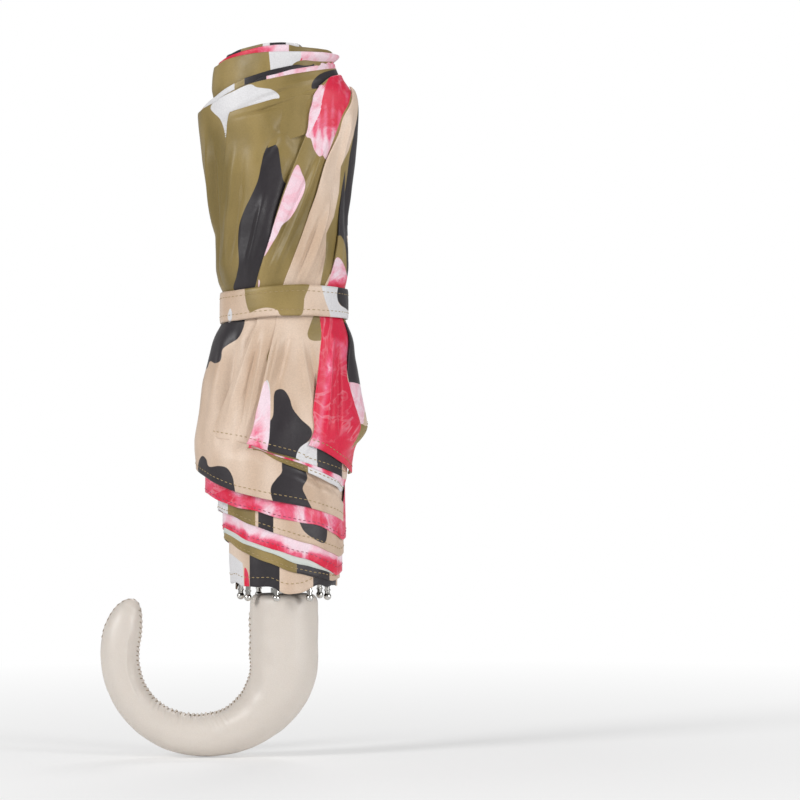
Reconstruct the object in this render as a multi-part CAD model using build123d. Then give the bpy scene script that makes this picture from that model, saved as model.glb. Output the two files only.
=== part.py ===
from build123d import *
import math
import os

# Three-fold umbrella, folded and strapped, with a leather-covered crook handle.
# Frame, millimetres: the shaft axis is Z and the origin is on it at the
# handle's top face. +Z runs to the crown, -X to the crook's free end, and -Y is
# the front. Every solid stands in its folded place. The eight ribs are equal:
# each is built in the XZ plane on the +X side and turned about Z.
# Pivots and other points in the XZ plane are (x, z); ranges are (low, high).

N_RIBS = 8
RIB_PITCH_DEG = 360.0 / N_RIBS
FIRST_RIB_DEG = -98.0        # azimuth of rib 1, from the front (-Y) towards +X

# telescopic shaft
LOWER_R_IN, LOWER_R = 3.0, 3.5
MIDDLE_R_IN, MIDDLE_R = 3.56, 4.2
UPPER_R_IN, UPPER_R = 4.26, 4.95
LOWER_Z = (-28.0, 220.0)
MIDDLE_Z = (4.0, 247.0)
TUBE_TRAVEL = 170.0          # each stage
LOWER_LOCK_Z = 212.0         # lock button of the lower tube
UPPER_LOCK_Z = 236.0         # lock button of the middle tube

# crown
CROWN_PIVOT = (7.5, 256.0)
HUB_R, HUB_Z = 10.0, (249.0, 263.0)
UPPER_Z = (8.0, HUB_Z[1])
CAP_R, CAP_TOP_Z = 9.5, 275.0
RING_WIRE_R, RING_CLEARANCE = 0.55, 0.05

# runner
RUNNER_BORE_R = 5.03
RUNNER_Z = (9.5, 42.0)
RUNNER_PIVOT = (7.8, 36.0)

# folded rib arm
TOP_MID_HINGE = (10.2, 106.0)
MID_TIP_HINGE = (13.5, 250.0)
TIP = (22.0, -1.0)           # centre of the ball tip
ATTACH = 84.0                # stretcher's place along the top rib


# ---------------------------------------------------------------- helpers
def save(shape, name):
    shape.label = name
    export_step(shape, f"parts/{name}.step")


def rod(radius, start, end):
    """Round rod between two points."""
    a, b = Vector(*start), Vector(*end)
    d = b - a
    return Solid.make_cylinder(radius, d.length, Plane(origin=a, z_dir=d.normalized()))


def upright(radius, z0, z1):
    """Rod on the shaft axis."""
    return rod(radius, (0, 0, z0), (0, 0, z1))


def across(point, radius, y_range):
    """Rod along Y through a point of the XZ plane."""
    x, z = point
    return rod(radius, (x, y_range[0], z), (x, y_range[1], z))


def rod_xz(radius, start, end):
    """Rod between two points of the XZ plane."""
    return rod(radius, (start[0], 0, start[1]), (end[0], 0, end[1]))


def tube(r_in, r_out, z_range):
    z0, z1 = z_range
    return upright(r_out, z0, z1) - upright(r_in, z0 - 1, z1 + 1)


def block(x_range, width, z_range):
    """Box centred on Y = 0, width wide along Y."""
    (x0, x1), (z0, z1) = x_range, z_range
    return Pos((x0 + x1) / 2, 0, (z0 + z1) / 2) * Box(x1 - x0, width, z1 - z0)


def ring_wire(pivot, wire_r):
    """Wire ring round the shaft, through a pivot."""
    return Pos(0, 0, pivot[1]) * Torus(pivot[0], wire_r)


def strip(start, end, half_depth, y_range):
    """Flat strip in the XZ plane, 2 * half_depth deep."""
    dx, dz = end[0] - start[0], end[1] - start[1]
    length = math.hypot(dx, dz)
    angle = math.degrees(math.atan2(dz, dx))
    y0, y1 = y_range
    bar = Pos(length / 2, 0, 0) * Box(length, y1 - y0, 2 * half_depth)
    return Pos(start[0], (y0 + y1) / 2, start[1]) * Rot(0, -angle, 0) * bar


def along(start, end, distance):
    """The point at a distance from start towards end."""
    t = distance / math.dist(start, end)
    return (start[0] + (end[0] - start[0]) * t, start[1] + (end[1] - start[1]) * t)


def at_azimuth(shape, degrees):
    """Turns a shape from +X to an azimuth, from the front towards +X."""
    return Rot(0, 0, degrees - 90.0) * shape


def place(shape, k):
    """Turns a shape to rib k, counted from 0; k + 0.5 is the gap after it."""
    return at_azimuth(shape, FIRST_RIB_DEG + RIB_PITCH_DEG * k)


def group(shapes):
    """The shapes' solids as one node."""
    return Compound([solid for shape in shapes for solid in shape.solids()])


# ---------------------------------------------------------------- handle
LEATHER_T = 1.5
GRIP_HALF_X, GRIP_HALF_Y = 17.0, 15.6
# straight grip: (z, reduction of both half widths)
GRIP_BODY = [(-8, 0), (-16, 0), (-24, 0)]
LEATHER_GRIP = [(0, 2.6), (-0.5, 1.4), (-1.4, 0.55), (-3.0, 0.1)] + GRIP_BODY
CORE_GRIP = [(-LEATHER_T, 0.5), (-4, 0)] + GRIP_BODY
# crook, tapering to a rounded nose:
# (degrees round the crook, centre-line radius, half width in XZ, half width in Y)
CROOK_CENTRE = (-44.0, -30.5)
CROOK = [
    (0, 44.3, GRIP_HALF_X, GRIP_HALF_Y),
    (10, 44.6, 16.7, 15.4), (22, 44.5, 15.8, 14.8), (35, 43.7, 14.4, 13.8),
    (48, 42.9, 12.9, 12.6), (62, 42.0, 11.6, 11.5), (78, 40.6, 10.7, 10.7),
    (95, 39.9, 10.2, 10.2), (112, 39.6, 9.7, 9.8), (130, 39.2, 9.2, 9.4),
    (148, 38.7, 9.1, 9.3), (166, 38.3, 9.3, 9.3), (184, 38.3, 9.5, 9.3),
    (197, 38.5, 9.5, 9.1), (206, 38.9, 8.7, 8.3), (213, 39.4, 7.1, 6.7),
    (218, 39.8, 5.2, 4.8), (221.5, 40.1, 2.6, 2.4),
]


def handle_body(grip, crook, inset):
    """Loft through ellipses down the grip and round the crook."""
    sections = []
    for z, cut in grip:
        plane = Plane(origin=(0, 0, z), x_dir=(1, 0, 0), z_dir=(0, 0, -1))
        sections.append(plane * Ellipse(GRIP_HALF_X - cut - inset, GRIP_HALF_Y - cut - inset))
    for degrees, radius, half_xz, half_y in crook:
        cos, sin = math.cos(math.radians(degrees)), math.sin(math.radians(degrees))
        plane = Plane(
            origin=(CROOK_CENTRE[0] + radius * cos, 0, CROOK_CENTRE[1] - radius * sin),
            x_dir=(cos, 0, -sin),
            z_dir=(-sin, 0, -cos),
        )
        sections.append(plane * Ellipse(half_xz - inset, half_y - inset))
    return loft(sections)


def save_handle():
    outside = handle_body(LEATHER_GRIP, CROOK, 0)
    # the core stops one section short of the leather's nose
    core = handle_body(CORE_GRIP, CROOK[:-1], LEATHER_T)
    leather = outside - core
    leather = leather - upright(LOWER_R + 0.3, -5, 2)
    core = core - upright(LOWER_R + 0.02, LOWER_Z[0], 2)
    save(core, "handle_core")
    save(leather, "handle_leather")
    save(tube(LOWER_R + 0.05, 6.6, (0.0, 3.0)), "handle_collar")


# ---------------------------------------------------------------- shaft
LOCK_HOLE_R, LOCK_BUTTON_R = 1.25, 1.15
LEAF_X = (0.2, 0.6)
LEAF_T = LEAF_X[1] - LEAF_X[0]
LEAF_WIDTH = 2.2


def shaft_tube(r_in, r_out, z_range, lock_heights):
    """Tube with a lock hole on its +X side at each height."""
    body = tube(r_in, r_out, z_range)
    for z in lock_heights:
        body -= rod_xz(LOCK_HOLE_R, (1, z), (9, z))
    return body


def lock_spring(r_inside, r_out, z):
    """Leaf bent inside a tube, with the round button it carries."""
    button = rod_xz(LOCK_BUTTON_R, (LEAF_X[1], z), (r_out - 0.25, z))
    back_x = -(r_inside - 0.5)
    foot_z = (z - 9 - LEAF_T, z - 9)
    leaf = block(LEAF_X, LEAF_WIDTH, (foot_z[1], z + 4))
    foot = block((back_x, LEAF_X[1]), LEAF_WIDTH, foot_z)
    back = block((back_x, back_x + LEAF_T), LEAF_WIDTH, (foot_z[0], z + 2))
    return button + leaf + foot + back


def save_shaft():
    save(shaft_tube(LOWER_R_IN, LOWER_R, LOWER_Z, [LOWER_LOCK_Z]), "lower_tube")
    middle_locks = [UPPER_LOCK_Z, LOWER_LOCK_Z - TUBE_TRAVEL]
    save(shaft_tube(MIDDLE_R_IN, MIDDLE_R, MIDDLE_Z, middle_locks), "middle_tube")
    save(shaft_tube(UPPER_R_IN, UPPER_R, UPPER_Z, [UPPER_LOCK_Z - TUBE_TRAVEL]), "upper_tube")
    save(lock_spring(LOWER_R_IN, LOWER_R, LOWER_LOCK_Z), "lower_lock_spring")
    save(lock_spring(MIDDLE_R_IN, MIDDLE_R, UPPER_LOCK_Z), "upper_lock_spring")


# ---------------------------------------------------------------- crown
def crown_hub():
    hub = upright(HUB_R, *HUB_Z) - upright(UPPER_R + 0.02, 240, 270)
    slot = block((5.6, 12), 2.3, (HUB_Z[0] - 1, CROWN_PIVOT[1] + 2.8))
    for k in range(N_RIBS):
        hub -= place(slot, k)
    hub -= ring_wire(CROWN_PIVOT, RING_WIRE_R + RING_CLEARANCE)
    return hub


def top_cap():
    cap = upright(CAP_R, HUB_Z[1] + 0.2, CAP_TOP_Z)
    cap = fillet(cap.edges().sort_by(Axis.Z)[-1], 3.2)
    cap -= upright(UPPER_R + 0.1, HUB_Z[1] - 1, HUB_Z[1] + 2.0)
    return cap


# ---------------------------------------------------------------- runner
RUNNER_R, HEAD_R, FLANGE_R = 9.0, 10.2, 10.6
HEAD_Z = 31                  # bottom of the wider head
FLANGE_T = 2.0
BUTTON_DEG = -27.5           # azimuth, between ribs 2 and 3
BUTTON_AXIS = (6.7, 21.5)    # the button rocks about this
BUTTON_X, BUTTON_WIDTH, BUTTON_Z = (6.2, 9.6), 5.2, (14.4, 28.6)


def runner():
    bottom, top = RUNNER_Z
    body = upright(RUNNER_R, bottom, HEAD_Z) + upright(HEAD_R, HEAD_Z, top)
    body += upright(FLANGE_R, bottom, bottom + FLANGE_T)
    body -= upright(RUNNER_BORE_R, 0, 60)
    slot = block((6.0, 12), 1.9, (33.2, 45))
    for k in range(N_RIBS):
        body -= place(slot, k)
    body -= ring_wire(RUNNER_PIVOT, RING_WIRE_R + RING_CLEARANCE)
    window = block((4.0, 12), BUTTON_WIDTH + 0.6, (BUTTON_Z[0] - 0.8, BUTTON_Z[1] + 0.8))
    body -= at_azimuth(window, BUTTON_DEG)
    body -= at_azimuth(across(BUTTON_AXIS, 0.68, (-4.2, 4.2)), BUTTON_DEG)
    return body


def runner_button():
    button = block(BUTTON_X, BUTTON_WIDTH, BUTTON_Z)
    button = fillet(button.edges().filter_by(Axis.Y).sort_by(Axis.X)[-2:], 1.2)
    button += across(BUTTON_AXIS, 0.6, (-4.0, 4.0))
    return at_azimuth(button, BUTTON_DEG)


# ---------------------------------------------------------------- rib arms
# Y ranges across the arm's plane; the stretcher lies on the -Y side
TOP_Y = (-0.9, 0.9)
MID_Y = (1.05, 2.45)
TIP_EYE_Y = (-0.85, 0.85)
STRETCHER_Y = (-2.5, -1.1)
STRETCHER_FOOT_Y = (-0.7, 0.7)
TOP_HALF_DEPTH, MID_HALF_DEPTH, STRETCHER_HALF_DEPTH = 1.15, 1.1, 1.1
TOP_EYE_R, MID_EYE_R, STRETCHER_EYE_R = 1.6, 1.5, 1.45
PIN_R, EYE_HOLE_R = 0.6, 0.68
TIP_ROD_R, FERRULE_R, FERRULE_COLLAR_R, BALL_R = 0.85, 1.25, 1.6, 1.9


def u_rib(start, end, half_depth, eye_r, y_range, margins, wall):
    """U-section rib with an eye at each end, its channel open towards the shaft."""
    body = strip(start, end, half_depth, y_range)
    body += across(start, eye_r, y_range) + across(end, eye_r, y_range)
    length = math.dist(start, end)
    # square to the rib, one wall thickness towards the shaft
    turn = math.copysign(wall, end[1] - start[1]) / length
    shift_x, shift_z = -(end[1] - start[1]) * turn, (end[0] - start[0]) * turn
    ends = []
    for distance in (margins[0], length - margins[1]):
        x, z = along(start, end, distance)
        ends.append((x + shift_x, z + shift_z))
    return body - strip(*ends, half_depth, (y_range[0] + wall, y_range[1] - wall))


def top_rib():
    rib = u_rib(CROWN_PIVOT, TOP_MID_HINGE, TOP_HALF_DEPTH, TOP_EYE_R, TOP_Y,
                margins=(8, 6), wall=0.4)
    rib -= across(CROWN_PIVOT, 0.8, (-2, 2))
    rib -= across(TOP_MID_HINGE, PIN_R, (-2, 2))
    head_y = (MID_Y[1] + 0.05, MID_Y[1] + 0.4)
    pin = across(TOP_MID_HINGE, PIN_R, (TOP_Y[0], head_y[0]))
    pin += across(TOP_MID_HINGE, 1.05, head_y)
    return [rib, pin]


def middle_rib():
    rib = u_rib(TOP_MID_HINGE, MID_TIP_HINGE, MID_HALF_DEPTH, MID_EYE_R, MID_Y,
                margins=(5, 5), wall=0.35)
    rib -= across(TOP_MID_HINGE, EYE_HOLE_R, (0, 4))
    rib -= across(MID_TIP_HINGE, PIN_R, (0, 4))
    head_y = (-1.25, -0.95)
    pin = across(MID_TIP_HINGE, PIN_R, (head_y[1], MID_Y[1]))
    pin += across(MID_TIP_HINGE, 1.0, head_y)
    return [rib, pin]


def tip_rib():
    def before_tip(distance):
        return along(TIP, MID_TIP_HINGE, distance)

    neck = before_tip(7.0)
    rib = across(MID_TIP_HINGE, MID_EYE_R, TIP_EYE_Y)
    rib += rod_xz(TIP_ROD_R, along(MID_TIP_HINGE, TIP, 2.0), neck)
    rib -= across(MID_TIP_HINGE, EYE_HOLE_R, (-3, 3))
    ferrule = rod_xz(FERRULE_R, neck, before_tip(1.2))
    ferrule += rod_xz(FERRULE_COLLAR_R, before_tip(3.6), before_tip(2.8))
    ferrule += Pos(TIP[0], 0, TIP[1]) * Sphere(BALL_R)
    return [rib, ferrule]


def stretcher():
    """Arm stepped sideways from the runner slot to the top rib's -Y side."""
    joint = along(CROWN_PIVOT, TOP_MID_HINGE, ATTACH)
    step_start, step_end = (along(RUNNER_PIVOT, joint, s) for s in (12, 16))
    depth, side, foot = STRETCHER_HALF_DEPTH, STRETCHER_Y, STRETCHER_FOOT_Y
    arm = strip(RUNNER_PIVOT, step_end, depth, foot)
    arm += across(RUNNER_PIVOT, STRETCHER_EYE_R, foot)
    arm += strip(step_start, step_end, depth, (side[0], foot[1]))
    arm += strip(step_start, joint, depth, side) + across(joint, STRETCHER_EYE_R, side)
    arm -= across(RUNNER_PIVOT, 0.85, (-2, 2))
    arm -= across(joint, PIN_R, (-4, 0))
    pin = across(joint, PIN_R, side) + across(joint, 1.0, (side[0] - 0.3, side[0]))
    return [arm, pin]


# ---------------------------------------------------------------- wrapped canopy
STRAP_Z = (137.0, 154.0)
WAIST_HALF_X, WAIST_HALF_Y = 31.8, 25.5
# outside of the wrap: (z, half width X, half depth Y, centre X)
WRAP = [
    (12, 25.5, 24.0, 0.5), (24, 28.0, 25.5, 0.5), (40, 30.5, 26.5, 0.0),
    (58, 35.5, 27.5, -1.5), (72, 39.5, 28.0, -1.5), (86, 39.5, 27.5, -0.5),
    (104, 36.5, 26.5, 0.0), (122, 33.5, 26.0, 0.0),
    (STRAP_Z[0], WAIST_HALF_X, WAIST_HALF_Y, 0.0),
    (STRAP_Z[1], WAIST_HALF_X, WAIST_HALF_Y, 0.0),
    (172, 33.0, 26.0, 0.0), (194, 34.0, 26.5, -1.0), (216, 36.0, 27.0, -2.5),
    (236, 37.5, 26.5, -2.5), (252, 34.0, 25.5, -1.5), (264, 31.0, 24.5, -1.0),
    (272, 26.5, 21.5, -1.0),
]
SECTOR_GAP = 0.5
SECTOR_REACH = 80.0          # cutting wedge's length, well past the wrap
PLEAT_T, PLEAT_BOTTOM_Z = 0.7, 112.0
# layer: (radial range, top z)
PLEATS = {"top": ((7.2, 11.2), 246.0), "middle": ((11.8, 15.2), 242.0)}


def tip_rib_radius(z):
    """Distance of the tip rib's centre line from the shaft axis."""
    (x0, z0), (x1, z1) = MID_TIP_HINGE, TIP
    return x0 + (x1 - x0) * (z0 - z) / (z0 - z1)


def save_gores():
    """The wrap, cut into one sector over each rib."""
    outer = loft([Pos(cx, 0, z) * Ellipse(half_x, half_y) for z, half_x, half_y, cx in WRAP])
    z0, z1 = WRAP[0][0] - 2, WRAP[-1][0] + 2
    hollow = Solid.make_cone(tip_rib_radius(z0) + 2.0, tip_rib_radius(z1) + 2.4, z1 - z0,
                             Plane(origin=(0, 0, z0)))
    shell = outer - hollow
    half_angle = math.radians(RIB_PITCH_DEG / 2)
    half_width = SECTOR_REACH * math.tan(half_angle)
    apex = SECTOR_GAP / 2 / math.sin(half_angle)
    far = SECTOR_REACH + apex
    outline = Polyline((apex, 0), (far, -half_width), (far, half_width), (apex, 0))
    wedge = Pos(0, 0, z0 - 3) * extrude(make_face(outline), z1 - z0 + 6)
    for k in range(N_RIBS):
        save(group([shell & place(wedge, k)]), f"canopy_gore_{k + 1}")


def save_pleats():
    """The folded-in layers: one thin pleat in each gap between two rib arms."""
    for layer, (r_range, top_z) in PLEATS.items():
        pleat = block(r_range, PLEAT_T, (PLEAT_BOTTOM_Z, top_z))
        # the "left" four stand on the front (-Y), the "right" four on the back
        for side, first in (("left", 0), ("right", N_RIBS // 2)):
            gaps = [first + j + 0.5 for j in range(N_RIBS // 2)]
            save(group([place(pleat, gap) for gap in gaps]), f"canopy_{layer}_{side}")


# ---------------------------------------------------------------- strap
STRAP_GAP, STRAP_T = 0.35, 0.9
STRAP_HALF_X, STRAP_HALF_Y = WAIST_HALF_X + STRAP_GAP, WAIST_HALF_Y + STRAP_GAP


def strap():
    band = Ellipse(STRAP_HALF_X + STRAP_T, STRAP_HALF_Y + STRAP_T)
    band -= Ellipse(STRAP_HALF_X, STRAP_HALF_Y)
    return Pos(0, 0, STRAP_Z[0]) * extrude(band, STRAP_Z[1] - STRAP_Z[0])


def strap_snap():
    """Round snap on the strap's back (+Y) face."""
    face_y = STRAP_HALF_Y + STRAP_T
    snap = across((0, sum(STRAP_Z) / 2), 5.0, (face_y + 0.15, face_y + 1.35))
    return fillet(snap.edges().sort_by(Axis.Y)[-1], 0.8)


# ---------------------------------------------------------------- build
os.makedirs("parts", exist_ok=True)
save_handle()
save_shaft()
save(crown_hub(), "crown_hub")
save(ring_wire(CROWN_PIVOT, RING_WIRE_R), "crown_ring")
save(top_cap(), "top_cap")
save(runner(), "runner")
save(ring_wire(RUNNER_PIVOT, RING_WIRE_R), "runner_ring")
save(runner_button(), "runner_button")
for build, name in ((top_rib, "top_rib"), (middle_rib, "middle_rib"),
                    (tip_rib, "tip_rib"), (stretcher, "stretcher")):
    solids = build()
    for k in range(N_RIBS):
        save(group([place(solid, k) for solid in solids]), f"{name}_{k + 1}")
save_gores()
save_pleats()
save(group([strap()]), "strap")
save(strap_snap(), "strap_snap")
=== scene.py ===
"""A folding umbrella: the canopy wrapped in its strap, the same canopy opened, and the handle.

The shaft stands on +Z with z = 0 at the handle's top face. The front faces -Y, and the crook
hangs below z = 0 and bends towards -X. Tables are in millimetres and degrees, meshes in metres.
"""
import bpy
import math
import numpy as np
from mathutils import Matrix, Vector


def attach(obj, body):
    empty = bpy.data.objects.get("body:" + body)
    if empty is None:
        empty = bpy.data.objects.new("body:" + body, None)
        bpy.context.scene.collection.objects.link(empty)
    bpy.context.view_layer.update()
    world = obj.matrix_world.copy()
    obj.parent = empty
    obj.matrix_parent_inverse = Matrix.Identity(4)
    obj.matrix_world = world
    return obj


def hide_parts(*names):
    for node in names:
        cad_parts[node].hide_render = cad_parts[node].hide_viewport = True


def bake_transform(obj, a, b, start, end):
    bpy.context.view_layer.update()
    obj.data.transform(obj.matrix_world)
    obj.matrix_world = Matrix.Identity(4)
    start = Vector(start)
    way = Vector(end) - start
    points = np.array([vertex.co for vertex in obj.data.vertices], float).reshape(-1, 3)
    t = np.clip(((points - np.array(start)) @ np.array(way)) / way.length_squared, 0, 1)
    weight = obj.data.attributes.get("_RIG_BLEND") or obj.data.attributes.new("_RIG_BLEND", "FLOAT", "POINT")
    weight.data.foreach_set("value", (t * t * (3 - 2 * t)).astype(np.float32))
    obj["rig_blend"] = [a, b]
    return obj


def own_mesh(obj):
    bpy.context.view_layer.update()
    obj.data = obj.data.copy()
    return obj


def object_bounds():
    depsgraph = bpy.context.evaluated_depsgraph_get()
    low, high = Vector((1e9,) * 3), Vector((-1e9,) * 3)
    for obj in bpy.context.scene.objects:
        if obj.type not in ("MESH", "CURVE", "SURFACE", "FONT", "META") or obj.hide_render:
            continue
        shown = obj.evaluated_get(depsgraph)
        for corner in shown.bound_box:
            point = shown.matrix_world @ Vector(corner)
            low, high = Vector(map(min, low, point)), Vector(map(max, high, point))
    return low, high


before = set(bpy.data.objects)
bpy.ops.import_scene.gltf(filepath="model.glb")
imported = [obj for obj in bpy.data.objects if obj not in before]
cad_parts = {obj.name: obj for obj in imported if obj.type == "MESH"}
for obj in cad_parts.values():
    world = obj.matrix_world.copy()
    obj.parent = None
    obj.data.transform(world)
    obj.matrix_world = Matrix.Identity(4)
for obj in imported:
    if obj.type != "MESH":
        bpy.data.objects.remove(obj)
BOX_BEFORE = [list(corner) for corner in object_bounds()]
COARSE = 1      # divides the segment counts
MM = 0.001


# ---- numeric tools -------------------------------------------------------------
def linear(hex_colour):
    """sRGB hex to a linear RGBA tuple."""
    channels = [int(hex_colour[i:i + 2], 16) / 255 for i in (1, 3, 5)]
    return tuple(c / 12.92 if c <= 0.04045 else ((c + 0.055) / 1.055) ** 2.4
                 for c in channels) + (1.0,)


def sstep(value, start, end):
    """Smooth step from 0 at start to 1 at end; start may be the larger."""
    t = np.clip((np.asarray(value, float) - start) / (end - start), 0, 1)
    return t * t * (3 - 2 * t)


def gauss(value, centre, width):
    return np.exp(-((value - centre) / width) ** 2)


def unit(value):
    return np.clip(value, 0, 1)


def const(value):
    return lambda q: value + 0.0 * q


def normalised(vectors):
    return vectors / np.maximum(np.linalg.norm(vectors, axis=-1, keepdims=True), 1e-9)


def smooth_curve(points, smooth, step):
    """A Gaussian-smoothed function through (q, value) points, flat outside them."""
    points = sorted(points)
    known = np.array([p[0] for p in points], float)
    values = np.array([p[1] for p in points], float)
    grid = np.arange(known[0] - 24 * step, known[-1] + 24 * step, step)
    reach = int(smooth * 3 / step)
    kernel = np.exp(-0.5 * (np.arange(-reach, reach + 1) * step / smooth) ** 2)
    kernel /= kernel.sum()
    padded = np.pad(np.interp(grid, known, values), reach, mode="edge")
    smoothed = np.convolve(padded, kernel, mode="valid")
    return lambda q: np.interp(q, grid, smoothed)


def over_drop(points, smooth):
    """A curve along the bundle's height, in mm of drop."""
    return smooth_curve(points, smooth, step=0.25)


def over_angle(points, smooth):
    """A curve round the bundle, in degrees."""
    return smooth_curve(points, smooth, step=0.5)


class Waves:
    """Smooth random field in 2-D made of a few sine waves."""

    def __init__(self, seed, count, shortest, longest, squeeze=(1.0, 1.0)):
        rng = np.random.default_rng(seed)
        length = rng.uniform(shortest, longest, count)
        heading = rng.uniform(0, 2 * np.pi, count)
        self.kx = 2 * np.pi / length * np.cos(heading) * squeeze[0]
        self.ky = 2 * np.pi / length * np.sin(heading) * squeeze[1]
        self.phase = rng.uniform(0, 2 * np.pi, count)
        self.height = rng.uniform(0.6, 1.0, count) * (length / longest) ** 0.6

    def field(self, x, y):
        """Value and gradient length."""
        value = np.zeros(np.shape(x))
        slope_x, slope_y = value.copy(), value.copy()
        for kx, ky, phase, height in zip(self.kx, self.ky, self.phase, self.height):
            t = kx * x + ky * y + phase
            value = value + height * np.sin(t)
            change = height * np.cos(t)
            slope_x, slope_y = slope_x + kx * change, slope_y + ky * change
        return value, np.hypot(slope_x, slope_y)

    def __call__(self, x, y):
        return self.field(x, y)[0]

    def distance(self, x, y, threshold):
        """Approximate distance in mm to the contour at the threshold."""
        value, slope = self.field(x, y)
        return np.clip((value - threshold) / np.maximum(slope, 0.02), -12, 12)


def smooth_polygon(points, per_side=6):
    """Closed Catmull-Rom curve through the points."""
    p = np.array(points, float)
    out = []
    for i in range(len(p)):
        a, b, c, d = p[i - 1], p[i], p[(i + 1) % len(p)], p[(i + 2) % len(p)]
        for t in np.arange(per_side) / per_side:
            out.append(0.5 * ((2 * b) + (c - a) * t + (2 * a - 5 * b + 4 * c - d) * t * t
                              + (3 * b - a - 3 * c + d) * t ** 3))
    return np.array(out)


def polygon_distance(x, y, polygon):
    """Signed distance to a closed polygon, positive inside."""
    starts = np.asarray(polygon, float)
    nearest = np.full(np.shape(x), 1e9)
    inside = np.zeros(np.shape(x), bool)
    for (ax, ay), (bx, by) in zip(starts, np.roll(starts, -1, axis=0)):
        dx, dy = bx - ax, by - ay
        square = dx * dx + dy * dy
        if square < 1e-12:
            continue
        t = np.clip(((x - ax) * dx + (y - ay) * dy) / square, 0, 1)
        nearest = np.minimum(nearest, (x - ax - t * dx) ** 2 + (y - ay - t * dy) ** 2)
        crosses = (ay > y) != (by > y)
        crossing_x = ax + (y - ay) * dx / (dy if abs(dy) > 1e-12 else 1e-12)
        inside ^= crosses & (x < crossing_x)
    distance = np.sqrt(nearest)
    return np.where(inside, distance, -distance)


# ---- mesh building -------------------------------------------------------------
class MeshBuilder:
    """Collects several grids of points into one smooth mesh."""

    def __init__(self):
        self.points, self.faces, self.slots, self.attributes = [], [], [], {}
        self.count = 0

    def grid(self, points, attributes=None, wrap_columns=False, wrap_rows=False, flip=False,
             slot=0):
        rows, columns = points.shape[:2]
        for i in range(rows if wrap_rows else rows - 1):
            for j in range(columns if wrap_columns else columns - 1):
                row, next_row = self.count + i * columns, self.count + (i + 1) % rows * columns
                next_j = (j + 1) % columns
                a, b, c, d = row + j, row + next_j, next_row + next_j, next_row + j
                self.faces.append((a, d, c, b) if flip else (a, b, c, d))
        self.slots += [slot] * (len(self.faces) - len(self.slots))
        self.points.append(points.reshape(-1, 3))
        for key, values in (attributes or {}).items():
            part = (self.count, np.asarray(values, float).ravel())
            self.attributes.setdefault(key, []).append(part)
        self.count += rows * columns

    def make(self, name, materials):
        mesh = bpy.data.meshes.new(name)
        mesh.from_pydata(np.concatenate(self.points).tolist(), [], self.faces)
        mesh.update()
        mesh.polygons.foreach_set("use_smooth", [True] * len(mesh.polygons))
        for key, parts in self.attributes.items():
            full = np.zeros(self.count, np.float32)
            for at, values in parts:
                full[at:at + len(values)] = values
            mesh.attributes.new(key, "FLOAT", "POINT").data.foreach_set("value", full)
        for material in materials:
            mesh.materials.append(material)
        mesh.polygons.foreach_set("material_index", self.slots)
        ob = bpy.data.objects.new(name, mesh)
        bpy.context.scene.collection.objects.link(ob)
        return ob


# Profile of one stitch: (place along it, width, rise), the last two in thread radii.
STITCH_PROFILE = [(0.0, 0.05, -0.6), (0.10, 0.72, -0.12), (0.28, 1.0, 0.12), (0.5, 1.0, 0.2),
                  (0.72, 1.0, 0.12), (0.90, 0.72, -0.12), (1.0, 0.05, -0.6)]
STITCH_SIDES, STITCH_FLATTENING = 6, 0.75


def add_stitches(builder, starts, ends, normals, radius, slot=0):
    """Short rounded threads from starts to ends, lying on a surface with these normals."""
    run = ends - starts
    side = normalised(np.cross(normalised(run), normals))
    up = np.cross(side, normalised(run))
    ring = np.arange(STITCH_SIDES)[:, None] * 2 * np.pi / STITCH_SIDES
    for i in range(len(starts)):
        rows = []
        for along, width, rise in STITCH_PROFILE:
            centre = starts[i] + run[i] * along + up[i] * radius * rise
            rows.append(centre + radius * width * (
                np.cos(ring) * side[i] + STITCH_FLATTENING * np.sin(ring) * up[i]))
        builder.grid(np.array(rows), wrap_columns=True, slot=slot, flip=True)


def stitch_path(builder, path, normals, pitch, fill, radius, lift, slant=0.0, slot=0):
    """Runs stitches along a polyline; fill is the share of the pitch that is thread."""
    lengths = np.linalg.norm(np.diff(path, axis=0), axis=1)
    travelled = np.concatenate([[0], np.cumsum(lengths)])
    if travelled[-1] < pitch:
        return
    at = np.arange(pitch * 0.3, travelled[-1] - pitch * fill, pitch)

    def sample(array, q):
        return np.stack([np.interp(q, travelled, array[:, k]) for k in range(3)], 1)

    start, end = sample(path, at), sample(path, at + pitch * fill)
    normal = normalised(sample(normals, at + pitch * fill / 2))
    side = normalised(np.cross(end - start, normal))
    add_stitches(builder, start + normal * lift - side * slant / 2,
                 end + normal * lift + side * slant / 2, normal, radius, slot)


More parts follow.
